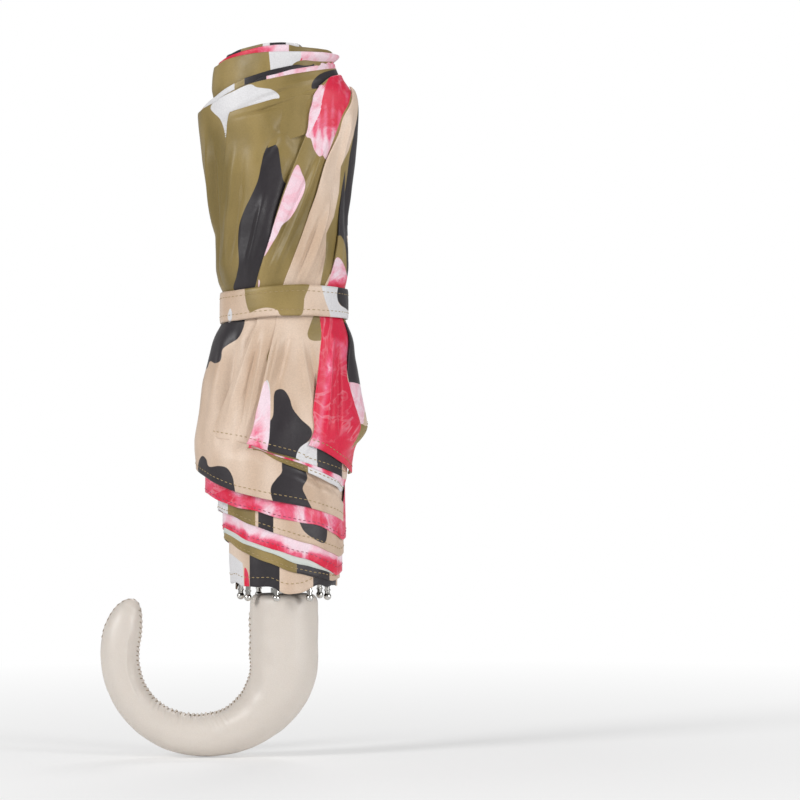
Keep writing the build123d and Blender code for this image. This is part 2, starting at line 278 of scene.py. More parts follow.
# ---- materials -----------------------------------------------------------------
class Shader:
    """A node material with a Principled surface and short ways to add nodes."""

    def __init__(self, name):
        self.material = bpy.data.materials.new(name)
        self.material.use_nodes = True
        self.tree = self.material.node_tree
        self.tree.nodes.clear()
        self.output = self.node("ShaderNodeOutputMaterial")
        self.bsdf = self.node("ShaderNodeBsdfPrincipled")
        self.plug(self.output.inputs[0], self.bsdf.outputs[0])

    def plug(self, socket, value):
        """Links a socket, or sets its value."""
        if isinstance(value, bpy.types.NodeSocket):
            self.tree.links.new(value, socket)
        else:
            socket.default_value = value

    def node(self, kind, inputs=None, **settings):
        made = self.tree.nodes.new(kind)
        for key, value in settings.items():
            setattr(made, key, value)
        for key, value in (inputs or {}).items():
            self.plug(made.inputs[key], value)
        return made

    def surface(self, inputs):
        for key, value in inputs.items():
            self.plug(self.bsdf.inputs[key], value)
        return self.material

    def mix(self, factor, first, second, mode="MIX"):
        return self.node("ShaderNodeMix", {0: factor, 6: first, 7: second},
                         data_type="RGBA", blend_type=mode).outputs[2]

    def math(self, operation, first, second=0.0, clamp=False):
        return self.node("ShaderNodeMath", {0: first, 1: second},
                         operation=operation, use_clamp=clamp).outputs[0]

    def times(self, first, second):
        return self.math("MULTIPLY", first, second)

    def remap(self, value, low, high, to_low=0.0, to_high=1.0):
        return self.node("ShaderNodeMapRange",
                         {0: value, 1: low, 2: high, 3: to_low, 4: to_high}).outputs[0]

    def coords(self, scale=(1, 1, 1)):
        place = self.node("ShaderNodeTexCoord").outputs["Object"]
        return self.node("ShaderNodeMapping", {0: place, "Scale": scale}).outputs[0]

    def noise(self, vector, scale, detail=3.0, rough=0.5, distortion=0.0):
        return self.node("ShaderNodeTexNoise", {
            "Vector": vector, "Scale": scale, "Detail": detail, "Roughness": rough,
            "Distortion": distortion}).outputs[0]

    def attribute(self, name):
        return self.node("ShaderNodeAttribute", attribute_type="GEOMETRY",
                         attribute_name=name).outputs["Fac"]

    def bump(self, height, strength, distance, normal=None):
        inputs = {"Strength": strength, "Distance": distance, "Height": height}
        if normal is not None:
            inputs["Normal"] = normal
        return self.node("ShaderNodeBump", inputs).outputs[0]


# print colours; the second of each pair is the same colour in painted fold shade (olive, tan) or in painted
# sheen (black)
OLIVE, OLIVE_SHADED = linear("#9f8955"), linear("#7c6a39")
TAN, TAN_SHADED = linear("#e2ccb9"), linear("#cbb098")
BLACK, BLACK_SHEEN = linear("#272327"), linear("#302b2f")
WHITE = linear("#dddcde")
PINK_PALE, PINK_MID, PINK_DEEP = linear("#f1d9e3"), linear("#ea6a8b"), linear("#dc1640")


def flower_colour(mat, vector):
    """Pink from pale to deep by the g_pink attribute, broken up and finely veined."""
    depth = mat.attribute("g_pink")
    petal = mat.noise(vector, scale=75, detail=4.0, rough=0.6, distortion=1.6)
    spread = mat.times(mat.math("SUBTRACT", petal, 0.5), 2.6)
    # the spread is widest at middle depths
    room = mat.times(depth, mat.math("SUBTRACT", 1.02, depth))
    room = mat.math("ADD", mat.times(room, 3.2), 0.09)
    tone = mat.math("ADD", depth, mat.times(spread, room), clamp=True)
    pale = mat.mix(mat.remap(tone, low=0.0, high=0.5), PINK_PALE, PINK_MID)
    pink = mat.mix(mat.remap(tone, low=0.45, high=0.95), pale, PINK_DEEP)
    vein = mat.noise(vector, scale=34, rough=0.6, distortion=2.2)
    line = mat.math("ABSOLUTE", mat.math("SUBTRACT", vein, 0.5))
    lines = mat.times(mat.remap(line, low=0.032, high=0.003),
                      mat.remap(depth, low=0.35, high=0.75))
    fading = mat.remap(mat.noise(vector, scale=55, detail=2.0), low=0.42, high=0.62)
    return mat.mix(mat.times(mat.times(lines, fading), 0.28), pink, linear("#f6c3d2"))


def fabric_material():
    """Printed satin: tan ground, with colours laid on by the mesh's distance attributes, and streaks of
    painted sheen and fold shade in the tan, olive and black.
    """
    mat = Shader("printed_satin")
    vector = mat.coords()
    # painted sheen and fold shade: soft streaks, long along the height, that mix each colour with its copy
    # in painted shade or sheen
    painted_sheen = mat.remap(mat.noise(mat.coords((1, 1, 0.4)), scale=46, detail=2.0),
                       low=0.36, high=0.64)
    colour = mat.mix(painted_sheen, TAN, TAN_SHADED)
    layers = (("d_olive", mat.mix(painted_sheen, OLIVE, OLIVE_SHADED)),
              ("d_black", mat.mix(painted_sheen, BLACK, BLACK_SHEEN)),
              ("d_white", WHITE), ("d_pink", flower_colour(mat, vector)))
    for key, layer in layers:
        edge = mat.remap(mat.attribute(key), low=-0.14, high=0.14)
        colour = mat.mix(edge, colour, layer)
    # woven speckle
    speck = mat.mix(mat.noise(vector, scale=1500, detail=2.0, rough=0.6),
                    (0.55, 0.55, 0.55, 1), (1.45, 1.45, 1.45, 1))
    colour = mat.mix(0.36, colour, mat.mix(1.0, colour, speck, "MULTIPLY"))
    # the cloth's back is paler
    backface = mat.node("ShaderNodeNewGeometry").outputs["Backfacing"]
    colour = mat.mix(backface, colour, mat.mix(0.42, colour, linear("#d9d8d2")))
    weave = mat.node("ShaderNodeTexWave",
                     {"Scale": 1400, "Distortion": 1.5, "Vector": vector},
                     wave_type="BANDS", bands_direction="DIAGONAL")
    crumple = mat.bump(mat.noise(vector, scale=130, rough=0.55), strength=0.20, distance=0.0012)
    return mat.surface({
        "Base Color": colour,
        "Roughness": mat.remap(mat.noise(vector, scale=260), low=0.3, high=0.7,
                               to_low=0.38, to_high=0.47),
        "Sheen Weight": 0.18, "Sheen Roughness": 0.4, "Specular IOR Level": 0.42,
        "Normal": mat.bump(weave.outputs["Fac"], strength=0.12, distance=0.00012,
                           normal=crumple)})


def plain_material(name, colour, rough, metal=0.0, grain=900, contrast=0.08, bump=0.1,
                   bump_depth=0.0001, stretch=(1, 1, 1), coat=0.0, worn=None):
    """One colour with a fine grain; worn is the colour that shows on rubbed edges."""
    mat = Shader(name)
    vector = mat.coords(stretch)
    fine = mat.noise(vector, scale=grain)
    broad = mat.noise(vector, scale=60, detail=2.0)
    base = linear(colour)[:3]
    dark = tuple(c * (1 - contrast * 2) for c in base) + (1,)
    light = tuple(min(1, c * (1 + contrast * 2)) for c in base) + (1,)
    result = mat.mix(fine, dark, light)
    if worn:
        pointed = mat.node("ShaderNodeNewGeometry").outputs["Pointiness"]
        edge = mat.remap(pointed, low=0.52, high=0.60)
        rubbed = mat.times(edge, mat.remap(broad, low=0.4, high=0.7))
        result = mat.mix(rubbed, result, linear(worn))
    return mat.surface({
        "Base Color": result,
        "Roughness": mat.remap(broad, low=0.25, high=0.75, to_low=max(0.02, rough - 0.06),
                               to_high=rough + 0.08),
        "Metallic": metal, "Coat Weight": coat,
        "Normal": mat.bump(fine, strength=bump, distance=bump_depth)})


def leather_material():
    """Pale grained leather, darker along the seam, where painted shade fills the gaps between its pinches,
    and lighter where it is rubbed.
    """
    mat = Shader("leather_pale")
    vector = mat.coords()
    colour = mat.mix(mat.noise(vector, scale=28), linear("#ddd5cc"), linear("#d5ccc3"))
    cells = mat.node("ShaderNodeTexVoronoi", {"Scale": 1300, "Vector": vector},
                     feature="DISTANCE_TO_EDGE")
    grain = mat.remap(cells.outputs["Distance"], low=0.0, high=0.22)
    furrow = mat.times(mat.math("SUBTRACT", 1.0, grain), 0.10)
    colour = mat.mix(furrow, colour, linear("#a89684"))
    # the seam's own darker line, with painted shade strongest in the gaps between the pinched edges
    colour = mat.mix(mat.times(mat.attribute("seam"), 0.55), colour, linear("#a08c78"))
    colour = mat.mix(mat.times(mat.attribute("rub"), 0.35), colour, linear("#e6ddd3"))
    normal = mat.bump(grain, strength=0.12, distance=0.00012)
    normal = mat.bump(mat.noise(vector, scale=2600), strength=0.15, distance=0.0001,
                      normal=normal)
    normal = mat.bump(mat.noise(vector, scale=200, detail=4.0, rough=0.6), strength=0.10,
                      distance=0.0006, normal=normal)
    return mat.surface({
        "Base Color": colour,
        "Roughness": mat.remap(mat.noise(vector, scale=90), low=0.3, high=0.7,
                               to_low=0.34, to_high=0.46),
        "Subsurface Weight": 0.04, "Subsurface Radius": (0.002, 0.0012, 0.0008),
        "Normal": normal})


def tip_material():
    """Plated at the ferrule and ball, dark enamel along the rod."""
    mat = Shader("tip_rib_finish")
    place = mat.node("ShaderNodeTexCoord").outputs["Object"]
    height = mat.node("ShaderNodeSeparateXYZ", {0: place}).outputs["Z"]
    on_rod = mat.remap(height, low=0.0062, high=0.0066)
    fine = mat.noise(mat.coords(), scale=900)
    rod = mat.mix(fine, linear("#151517"), linear("#222226"))
    plate = mat.mix(fine, linear("#dedcd8"), linear("#d0cdc8"))
    return mat.surface({
        "Base Color": mat.mix(on_rod, plate, rod),
        "Metallic": mat.remap(on_rod, low=0, high=1, to_low=1.0, to_high=0.35),
        "Roughness": mat.remap(on_rod, low=0, high=1, to_low=0.09, to_high=0.34),
        "Normal": mat.bump(fine, strength=0.06, distance=0.00004)})


FABRIC = fabric_material()
LEATHER = leather_material()
LINING = plain_material("coated_back", "#cdd3cd", rough=0.42, grain=1500, contrast=0.04,
                        bump=0.15)
THREAD_TAN = plain_material("thread_tan", "#ab9469", rough=0.6, grain=4000, bump=0.5)
THREAD_ROSE = plain_material("thread_rose", "#a5506a", rough=0.6, grain=4000, bump=0.5)
THREAD_BEIGE = plain_material("thread_beige", "#866f4f", rough=0.62, grain=4000, bump=0.5)
CHROME = plain_material("plated_metal", "#d8d6d3", rough=0.10, metal=1.0, grain=500,
                        contrast=0.02, bump=0.02)
STEEL = plain_material("drawn_steel", "#a9abae", rough=0.26, metal=1.0, grain=700,
                       contrast=0.10, bump=0.25, bump_depth=0.00005, stretch=(1, 1, 0.02))
SPRING = plain_material("spring_steel", "#7d7c7c", rough=0.32, metal=1.0, bump=0.2)
ENAMEL = plain_material("black_enamel", "#17171a", rough=0.34, metal=0.4, grain=1200,
                        contrast=0.12, bump=0.25, bump_depth=0.00006, worn="#8a8a8c")
PLASTIC = plain_material("moulded_black", "#151518", rough=0.46, grain=2200, contrast=0.10,
                         bump=0.35, bump_depth=0.00008, worn="#3c3c40")
GLOSSY = plain_material("polished_black", "#0f0f12", rough=0.16, contrast=0.05, bump=0.05,
                        coat=0.4)
WOOD = plain_material("turned_wood", "#9a7447", rough=0.5, grain=420, contrast=0.18, bump=0.3,
                      bump_depth=0.0002, stretch=(1, 1, 0.12))
TIP_FINISH = tip_material()

FRAME_MATERIALS = {
    "handle_core": WOOD, "handle_collar": CHROME, "lower_tube": STEEL, "middle_tube": STEEL,
    "upper_tube": STEEL, "lower_lock_spring": SPRING, "upper_lock_spring": SPRING,
    "crown_hub": PLASTIC, "crown_ring": SPRING, "top_cap": GLOSSY, "runner": PLASTIC,
    "runner_ring": SPRING, "runner_button": GLOSSY, "handle_leather": LEATHER,
    "strap_snap": CHROME,
}


def frame_material(name):
    if name in FRAME_MATERIALS:
        return FRAME_MATERIALS[name]
    if name.startswith("tip_rib"):
        return TIP_FINISH
    return ENAMEL if "rib" in name or name.startswith("stretcher") else FABRIC


for name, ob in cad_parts.items():
    if not ob.data.materials:
        ob.data.materials.append(frame_material(name))
    for material_slot in ob.material_slots:
        material_slot.material = frame_material(name)

# ---- the wrapped bundle's outline ----------------------------------------------
# Places on the bundle are (x, drop), where drop runs down from this height.
DROP_ORIGIN = 297.0
PRINT_RADIUS = 31               # turns an angle into a length round the bundle

# (drop, left x, right x)
BUNDLE_ROWS = [
    (20, -22, 20.5), (23, -26, 23), (28, -29, 26.5), (34, -34.5, 28.5), (40, -35.75, 31),
    (46, -36, 36), (52, -38, 37.5), (58, -44, 37.5), (64, -43.5, 37.25), (70, -42.85, 37),
    (82, -41.6, 35.75), (94, -39.5, 33.75), (106, -37.25, 32.5), (118, -35, 31.5),
    (130, -35.15, 32), (136, -35.45, 33), (142, -34.85, 33.4), (146, -33, 32.25),
    (150, -32.25, 31.5), (157, -32.25, 31.75), (161.5, -33.2, 33.4), (166, -34.85, 34.3),
    (172, -36.35, 34.9), (178, -37.75, 35.5), (184, -39, 37), (190, -40.25, 38),
    (196, -41, 39), (202, -42, 40.5), (208, -43, 42), (214, -43.75, 43), (220, -44.5, 40),
    (226, -44.75, 36), (232, -44.5, 34.5), (238, -40.5, 34.5), (244, -39.5, 33),
    (250, -35, 31), (256, -33, 30.5), (262, -31, 30.5), (268, -30, 30), (274, -29.5, 29),
    (280, -29, 28), (286, -27.5, 27), (292, -25.5, 25.5), (297, -23, 23)]
# (z, half the bundle's depth in y)
HALF_DEPTHS = [
    (0, 24), (12, 26), (24, 27.5), (40, 30.0), (58, 31.0), (72, 31.0), (86, 30.0), (104, 28.2),
    (122, 26.2), (137, 25.0), (154, 25.0), (172, 25.8), (194, 26.4), (216, 26.8), (236, 26.2),
    (252, 25.2), (264, 24.0), (272, 22.0), (280, 19)]
BUNDLE_LEFT = over_drop([(drop, left) for drop, left, _ in BUNDLE_ROWS], 1.5)
BUNDLE_RIGHT = over_drop([(drop, right) for drop, _, right in BUNDLE_ROWS], 1.5)
BUNDLE_DEPTH = over_drop([(DROP_ORIGIN - z, half) for z, half in HALF_DEPTHS], 1.5)


class Outline:
    """The oval a sheet lies on, as functions of the drop."""

    def __init__(self, left=BUNDLE_LEFT, right=BUNDLE_RIGHT, depth=BUNDLE_DEPTH):
        self.left, self.right, self.depth = left, right, depth

    def section(self, drop):
        """Centre x, half width and half depth."""
        left, right = self.left(drop), self.right(drop)
        return (left + right) / 2, (right - left) / 2, self.depth(drop)

    def at(self, angle, drop, lift):
        """Point in metres; the angle runs in degrees from the front towards +X."""
        centre, half_width, half_depth = self.section(drop)
        turn = np.radians(angle)
        x = centre + (half_width + lift) * np.sin(turn)
        y = -(half_depth + lift) * np.cos(turn)
        return np.stack([x, y, DROP_ORIGIN - drop + 0 * x], -1) * MM

    def angle(self, x, drop):
        """Angle of a point on the front."""
        centre, half_width, _ = self.section(drop)
        return float(np.degrees(np.arcsin(np.clip((x - centre) / half_width, -1, 1))))


BUNDLE = Outline()


def edge_curve(points, ends=(), outline=BUNDLE, smooth=3):
    """Drop by angle, from (x, drop) points on the front and (angle, drop) ends."""
    front = [(outline.angle(x, drop), drop) for x, drop in points]
    return over_angle(list(ends) + front, smooth)


# ---- print ---------------------------------------------------------------------
OLIVE_FIELD, BLACK_FIELD, WHITE_FIELD = (
    Waves(11, 9, 75, 165), Waves(23, 9, 65, 150), Waves(37, 8, 70, 150))
FLOWER_COUNT, FLOWER_REPEAT = 30, 1120


def print_repeat(x, y):
    """The general print: a distance in mm for each colour, and the depth of the pink."""
    pink = np.full(np.shape(x), -12.0)
    depth = np.zeros(np.shape(x))
    rng = np.random.default_rng(5)
    half = FLOWER_REPEAT / 2
    for _ in range(FLOWER_COUNT):
        flower_x, flower_y = rng.uniform(-half, half, 2)
        size, turn, tone = rng.uniform(34, 62), rng.uniform(0, 6.28), rng.uniform(0.35, 0.95)
        dx = (x - flower_x + half) % FLOWER_REPEAT - half
        dy = (y - flower_y + half) % FLOWER_REPEAT - half
        radius, around = np.hypot(dx, dy), np.arctan2(dy, dx) + turn
        outer = size * (0.74 + 0.26 * np.abs(np.cos(2.5 * around)) ** 0.7
                        + 0.025 * np.sin(13 * around))
        inner = size * 0.56 * (0.70 + 0.30 * np.abs(np.cos(2.5 * around + 0.8)) ** 0.7
                               + 0.03 * np.sin(11 * around))
        inside = np.clip(outer - radius, -12, 12)
        nearest = inside > pink
        shade = np.where(radius < inner, 0.25 + 0.75 * (1 - radius / inner),
                         unit((outer - radius) / (outer - inner + 1)) * 0.85)
        pink = np.where(nearest, inside, pink)
        depth = np.where(nearest, np.clip(tone * (0.15 + 0.95 * shade), 0.02, 1), depth)
    return {"d_olive": OLIVE_FIELD.distance(x, y, 0.15),
            "d_black": BLACK_FIELD.distance(x, y, 1.35),
            "d_white": WHITE_FIELD.distance(x, y, 1.75), "d_pink": pink, "g_pink": depth}


# Patches of print on the front: (colour, polygon in (x, drop), depth of the pink).
def patch(colour, points, tone=0.0):
    return colour, smooth_polygon(points), tone


def panel(colour, corners, tone=0.0):
    """A patch with straight sides."""
    return colour, corners, tone


def box(colour, x0, x1, drop0, drop1, tone=0.0):
    return panel(colour, [(x0, drop0), (x1, drop0), (x1, drop1), (x0, drop1)], tone)


def paint(points, angle, patches, seed):
    """Print attributes of a sheet: patches in front, the general print round the back."""
    x, z = points[..., 0] / MM, points[..., 2] / MM
    drop = DROP_ORIGIN - z
    back = sstep(np.abs(angle) + 7 * np.sin(drop * 0.104 + seed * 2.1)
                 + 5 * np.sin(drop * 0.234 + seed), 93, 109)
    repeat = print_repeat(np.radians(angle) * PRINT_RADIUS + seed * 131.7, z + seed * 57.3)
    front = {key: np.full(x.shape, -6.0) for key in repeat}
    front["g_pink"] = np.zeros(x.shape)
    for colour, polygon, tone in patches:
        inside = np.clip(polygon_distance(x, drop, polygon), -6, 6)
        key = "d_" + colour
        if colour == "pink":
            depth = tone(x, drop) if callable(tone) else tone
            front["g_pink"] = np.where(inside > front[key], depth, front["g_pink"])
        front[key] = np.maximum(front[key], inside)
    return {key: front[key] * (1 - back) + repeat[key] * back for key in front}


# ---- sheets of the wrapped canopy ----------------------------------------------
LONG_WAVES = Waves(3, 12, 10, 34, (1.0, 0.22))
BROAD_WAVES = Waves(4, 8, 22, 60, (1.0, 0.45))
CROSS_WAVES = Waves(8, 8, 14, 40, (0.5, 1.0))
STRAP_MIDDLE = 151.5            # drop
HEM_ROWS = 6
threads = MeshBuilder()
wrapped = {}                    # every wrapped piece by name


def sheet_points(outline, left, right, top, bottom, columns, rows, lift):
    """Grid of a sheet between four edge curves.

    columns and rows each hold places 0..1, the fold's lift in mm, and its slip in mm.
    """
    across, down = np.meshgrid(columns[0], rows[0])
    column_lift, row_lift = np.meshgrid(columns[1], rows[1])
    column_slip, row_slip = np.meshgrid(columns[2], rows[2])
    drop = 100.0
    for _ in range(7):
        angle = left(drop) + (right(drop) - left(drop)) * across
        drop = top(angle) + (bottom(angle) - top(angle)) * down
    height = lift(across, down, angle, drop) + np.minimum(column_lift, row_lift)
    angle = angle + column_slip / 32 * 57.3
    return outline.at(angle, drop + row_slip, height), angle


def fold_params(count, fold, thickness=1.1, reach=0.12, dense=True):
    """Places across a sheet, starting under the folded edge if there is one."""
    base = np.linspace(0, 1, count)
    if dense:
        base = base ** 1.25
    if not fold:
        return base, np.zeros(count), np.zeros(count)
    arc = np.radians([-80, -50, -20, 10, 40, 68])
    radius = thickness / 2
    place = np.concatenate([np.linspace(reach, 0.012, 4), np.zeros(len(arc)), base])
    lift = np.concatenate([np.full(4, -thickness), -radius + radius * np.sin(arc),
                           np.zeros(count)])
    slip = np.concatenate([np.zeros(4), -radius * np.cos(arc), np.zeros(count)])
    return place, lift, slip


def hem_params(place, lift, slip):
    """Adds the turned-under hem at a sheet's lower edge."""
    return (np.concatenate([place, [1, 1, 1, 1, 0.992, 0.975]]),
            np.concatenate([lift, [-0.12, -0.36, -0.58, -0.72, -0.76, -0.76]]),
            np.concatenate([slip * 0.9, [0.16, 0.22, 0.14, -0.05, 0, 0]]))


def creases(x, drop, folds):
    """Folds along short lines (x0, drop0, x1, drop1, width, height), tapering at both ends."""
    height = np.zeros(np.shape(x))
    for x0, drop0, x1, drop1, width, rise in folds:
        dx, dy = x1 - x0, drop1 - drop0
        square = dx * dx + dy * dy
        along = ((x - x0) * dx + (drop - drop0) * dy) / square
        away = ((x - x0) * dy - (drop - drop0) * dx) / math.sqrt(square)
        taper = sstep(along, -0.05, 0.38) * (1 - sstep(along, 0.6, 1.08))
        height = height + 2.2 * rise * taper * gauss(away, 0, 0.85 * width)
    return height


def finish_sheet(name, points, angle, patches, seed, wrap=False, material=FABRIC):
    builder = MeshBuilder()
    builder.grid(points, paint(points, angle, patches, seed), wrap_columns=wrap, flip=True)
    wrapped[name] = builder.make(name, [material])
    return points


def pleat(name, left, right, top, bottom, patches, seed, columns, rows, start=0.0, end=0.0,
          puff=0.0, outline=BUNDLE, fold_left=True, fold_top=True, wrinkle=0.8,
          extra=lambda across, angle, drop: 0.0, folds=()):
    """One pleat; start and end are its lifts at its left and right edges."""
    def lift(across, down, angle, drop):
        arc = np.radians(angle) * PRINT_RADIUS
        # 1 away from the strap, small under it
        loose = 1 - 0.85 * np.exp(-(((drop - STRAP_MIDDLE) / 15.0) ** 4))
        slope = start * (1 - across) ** 1.1 + end * across
        body = puff * np.sin(np.pi * across) ** 0.8 * (0.35 + 0.65 * np.sin(np.pi * down) ** 0.6)
        waves = (LONG_WAVES(arc + seed * 17.3, drop + seed * 9.1) * 0.16
                 + LONG_WAVES(arc, drop) * 0.14
                 + BROAD_WAVES(arc - seed * 7.7, drop) * 0.20 + BROAD_WAVES(arc, drop) * 0.34
                 + CROSS_WAVES(arc + seed * 3.1, drop - seed * 5.0) * 0.12
                 + CROSS_WAVES(arc, drop) * 0.10)
        height = (slope * (0.35 + 0.65 * loose)
                  + (body + wrinkle * waves) * (0.25 + 0.75 * loose))
        height = height - 1.6 * (1 - loose) - 1.9 + extra(across, angle, drop)
        centre, half_width, _ = outline.section(drop)
        x = centre + half_width * np.sin(np.radians(angle))
        return height + creases(x, drop, folds) * (np.abs(angle) < 90)

    points, angle = sheet_points(
        outline, left, right, top, bottom, fold_params(columns // COARSE, fold_left),
        hem_params(*fold_params(rows // COARSE, fold_top, reach=0.05, dense=False)), lift)
    return finish_sheet(name, points, angle, patches, seed)


def closed_sheet(name, outline, top, bottom, columns, rows, lift, patches, seed,
                 material=FABRIC):
    """A sheet that runs all the way round."""
    across = np.linspace(0, 1, columns // COARSE + 1)[:-1]
    flat = np.zeros(len(across))
    points, angle = sheet_points(outline, const(-180.0), const(180.0), top, bottom,
                                 (across, flat, flat), rows, lift)
    return finish_sheet(name, points, angle, patches, seed, wrap=True, material=material)


def closing_fade(angle):
    """0 where a closed sheet meets itself at the back, 1 elsewhere."""
    return sstep(180 - np.abs(angle), 0, 25)


def outward(points):
    """Normals of a sheet's grid, pointing out of the bundle."""
    normals = np.cross(np.gradient(points, axis=1), np.gradient(points, axis=0))
    normals /= np.maximum(np.linalg.norm(normals, axis=-1, keepdims=True), 1e-12)
    radial = points.copy()
    radial[..., 2] = 0
    normals[np.sum(normals * radial, -1) < 0] *= -1
    return normals


# Leading edge of each pleat: (drop, angle) points, then (drop, x) points on the front.
LEADING_EDGES = {
    "A": ([(40, -24), (162, -84), (180, -97), (200, -105), (220, -111), (250, -117)],
          [(58, -25), (72, -28), (90, -29.25), (110, -31), (127.5, -31.5), (145, -31.75)]),
    "B": ([],
          [(37, 27), (39.5, 24.5), (42, 22), (45, 18.75), (48, 15.75), (66, 13.5), (85, 6),
           (107.5, -2.25), (127.5, -8.05), (145, -12.7), (162, -13.5), (175, -18.05),
           (190, -24.5), (205, -30.75), (216.5, -35.65), (223, -38.5)]),
    "C": ([],
          [(35, 30.5), (41.5, 31.25), (59.5, 29.9), (67.5, 28.5), (81.85, 21.8),
           (96.75, 17.65), (115.85, 11), (131.5, 5.2), (143.2, 0.65), (158.9, -3),
           (170.5, -4.5), (188, -8.1), (205, -12), (220.5, -15.8), (235, -20)]),
    "D": ([(40, 96), (53, 84)],
          [(65, 35.25), (80, 31.5), (92.5, 29.75), (117.5, 28), (131, 26.5), (143, 22.5),
           (158.35, 19.95), (180.8, 18.9), (206.35, 15.35), (221.5, 13.8), (240, 11.5)]),
    "E": ([(40, 122), (100, 112), (142.5, 96), (159.4, 80), (172.5, 70)],
          [(189, 32.7), (221.5, 33.7), (240, 34.5)]),
    "F": ([(40, 160), (100, 152), (150, 142), (200, 132), (240, 126)], []),
    "G": ([(40, 205), (100, 198), (150, 190), (200, 180), (240, 172)], []),
    "H": ([(40, 250), (100, 243), (150, 234), (200, 222), (240, 214)], []),
}
lead = {key: over_drop(by_angle + [(drop, BUNDLE.angle(x, drop)) for drop, x in by_x], 2)
        for key, (by_angle, by_x) in LEADING_EDGES.items()}


def shifted(curve, amount):
    return lambda q: curve(q) + amount


def hand_over(first, second, start, end):
    """One curve turning into another between two drops."""
    return lambda drop: (first(drop) * (1 - sstep(drop, start, end))
                         + second(drop) * sstep(drop, start, end))


# Lower edges of the narrow hems between the pleats and the first long hem.
HEM_A_EDGE = edge_curve([(-13, 223), (-7, 225.5), (0.5, 227.65), (8, 229.5), (17, 232.4),
                         (25.5, 235.75), (31.5, 239)], ends=[(100, 240)])
HEM_C_EDGE = edge_curve([(-13, 223.5), (-7, 226), (0.5, 228.5), (8, 230.5), (17, 234),
                         (25.5, 238.25), (31.5, 242.5)], ends=[(100, 243.5)])
HEM_B_EDGE = edge_curve([(-11, 224.5), (-4.5, 228.75), (4, 232.25), (13, 235.5), (19, 238.1),
                         (24.5, 241), (31.5, 245.75)], ends=[(100, 247)])
# Limits of the background boxes, wider than the bundle.
FAR_LEFT, FAR_RIGHT = -92, 88
OLIVE_ABOVE_STRAP = box("olive", FAR_LEFT, FAR_RIGHT, 10, STRAP_MIDDLE)
OLIVE_TOP = box("olive", FAR_LEFT, FAR_RIGHT, 10, 70)

# -- pleat A, across the front
PATCHES_A = [
    OLIVE_ABOVE_STRAP,
    patch("black", [
        (-6.85, 74), (-4, 73.65), (-2.2, 75.5), (-1.5, 79.35), (-0.2, 89), (1, 92.5),
        (3.5, 93.75), (2, 98), (0, 104), (-2.5, 111), (-5.5, 118.5), (-8, 126.5), (-11.5, 136),
        (-14.5, 145.5), (-19.5, 146.5), (-24.65, 145), (-23, 138.5), (-21.75, 132),
        (-22.15, 122), (-21.5, 113.5), (-18.85, 105.9), (-15.5, 99.25), (-12.2, 91.8),
        (-10.5, 84), (-9.1, 78)]),
    patch("black", [
        (-36, 150), (-18.85, 150), (-18.85, 160.2), (-20, 165.5), (-22.4, 169.6),
        (-27, 172.5), (-30, 175), (-30.55, 179), (-31.5, 181), (-34, 181.75), (-36.7, 180.8),
        (-38.75, 184.5), (-47, 187), (-48, 150)]),
    patch("black", [
        (-42, 237), (-42.25, 231), (-40.25, 227.75), (-38, 229.5), (-36.7, 233),
        (-31.6, 232.6), (-27.5, 233.5), (-25, 237), (-24, 241), (-24.25, 248), (-35, 246)]),
    patch("black", [
        (0.25, 230.5), (6.5, 232.5), (10.25, 233.75), (12.3, 238.5), (10, 243.5), (12, 248.5),
        (14, 256), (-1, 256), (-5.05, 248.5), (-5.55, 243), (-3, 239), (-0.25, 235.5)]),
    patch("white", [(-27.5, 155), (-26, 153), (-25, 156), (-25.5, 160.5), (-27.5, 161)]),
]
# below this row the left side keeps straight down
OUTLINE_A = Outline(left=over_drop([(drop, left if drop < 232 else -44.5)
                                    for drop, left, _ in BUNDLE_ROWS], 1))
points_a = pleat(
    "wrap_pleat_a", lead["A"], hand_over(shifted(lead["B"], 24), const(84.0), 192.5, 220),
    edge_curve([(-36, 65), (-24.65, 57.8), (-17, 55.25), (-2.25, 50.75), (8, 48.25),
                (16.5, 46.5), (25.5, 45)]),
    edge_curve([(-43.75, 235), (-38.75, 238.5), (-24.5, 245), (-6.1, 249.2), (13.3, 252.75),
                (29.65, 260.4)],
               ends=[(-125, 231.5), (-100, 233), (95, 262)], outline=OUTLINE_A),
    PATCHES_A, seed=1, columns=110, rows=250, start=1.9, end=-0.6, puff=1.4, outline=OUTLINE_A,
    extra=lambda across, angle, drop: (
        -1.3 * sstep(angle, -50, -22) * sstep(drop, 200, 220)
        * (1 - sstep(drop - HEM_B_EDGE(angle), 0.5, 6))
        - 1.5 * sstep(angle, 15, 45) * sstep(drop, 165, 190)
        + 3.0 * sstep(angle, 5, 50) * sstep(drop - HEM_B_EDGE(angle), 0.5, 6)),
    folds=[(-24, 61, 21, 48, 0.8, -0.8), (-22, 59, 19, 46, 1, 0.35), (-13, 56, 10, 83, 3.5, 0.6),
           (10.5, 51, -14, 86, 3, -0.6), (0.5, 59, 14, 75, 3, -0.25),
           (-23, 70, -29, 142.5, 2.25, 0.7), (-19, 75, -26, 142.5, 2, -0.5),
           (-8, 95, -19, 144, 2, 0.75), (8, 75, -8, 125, 2.5, -0.6),
           (-28, 165, -39, 222.5, 2.5, 0.7), (-23, 162.5, -32.5, 227.5, 2.25, -0.75),
           (-18.5, 162.5, -26, 235, 2.5, 0.5), (-11, 225, -8, 247.5, 2.5, 0.4),
           (18, 235, 23, 257.5, 2, -0.5), (25, 235, 28.5, 257.5, 1.5, 0.4)])

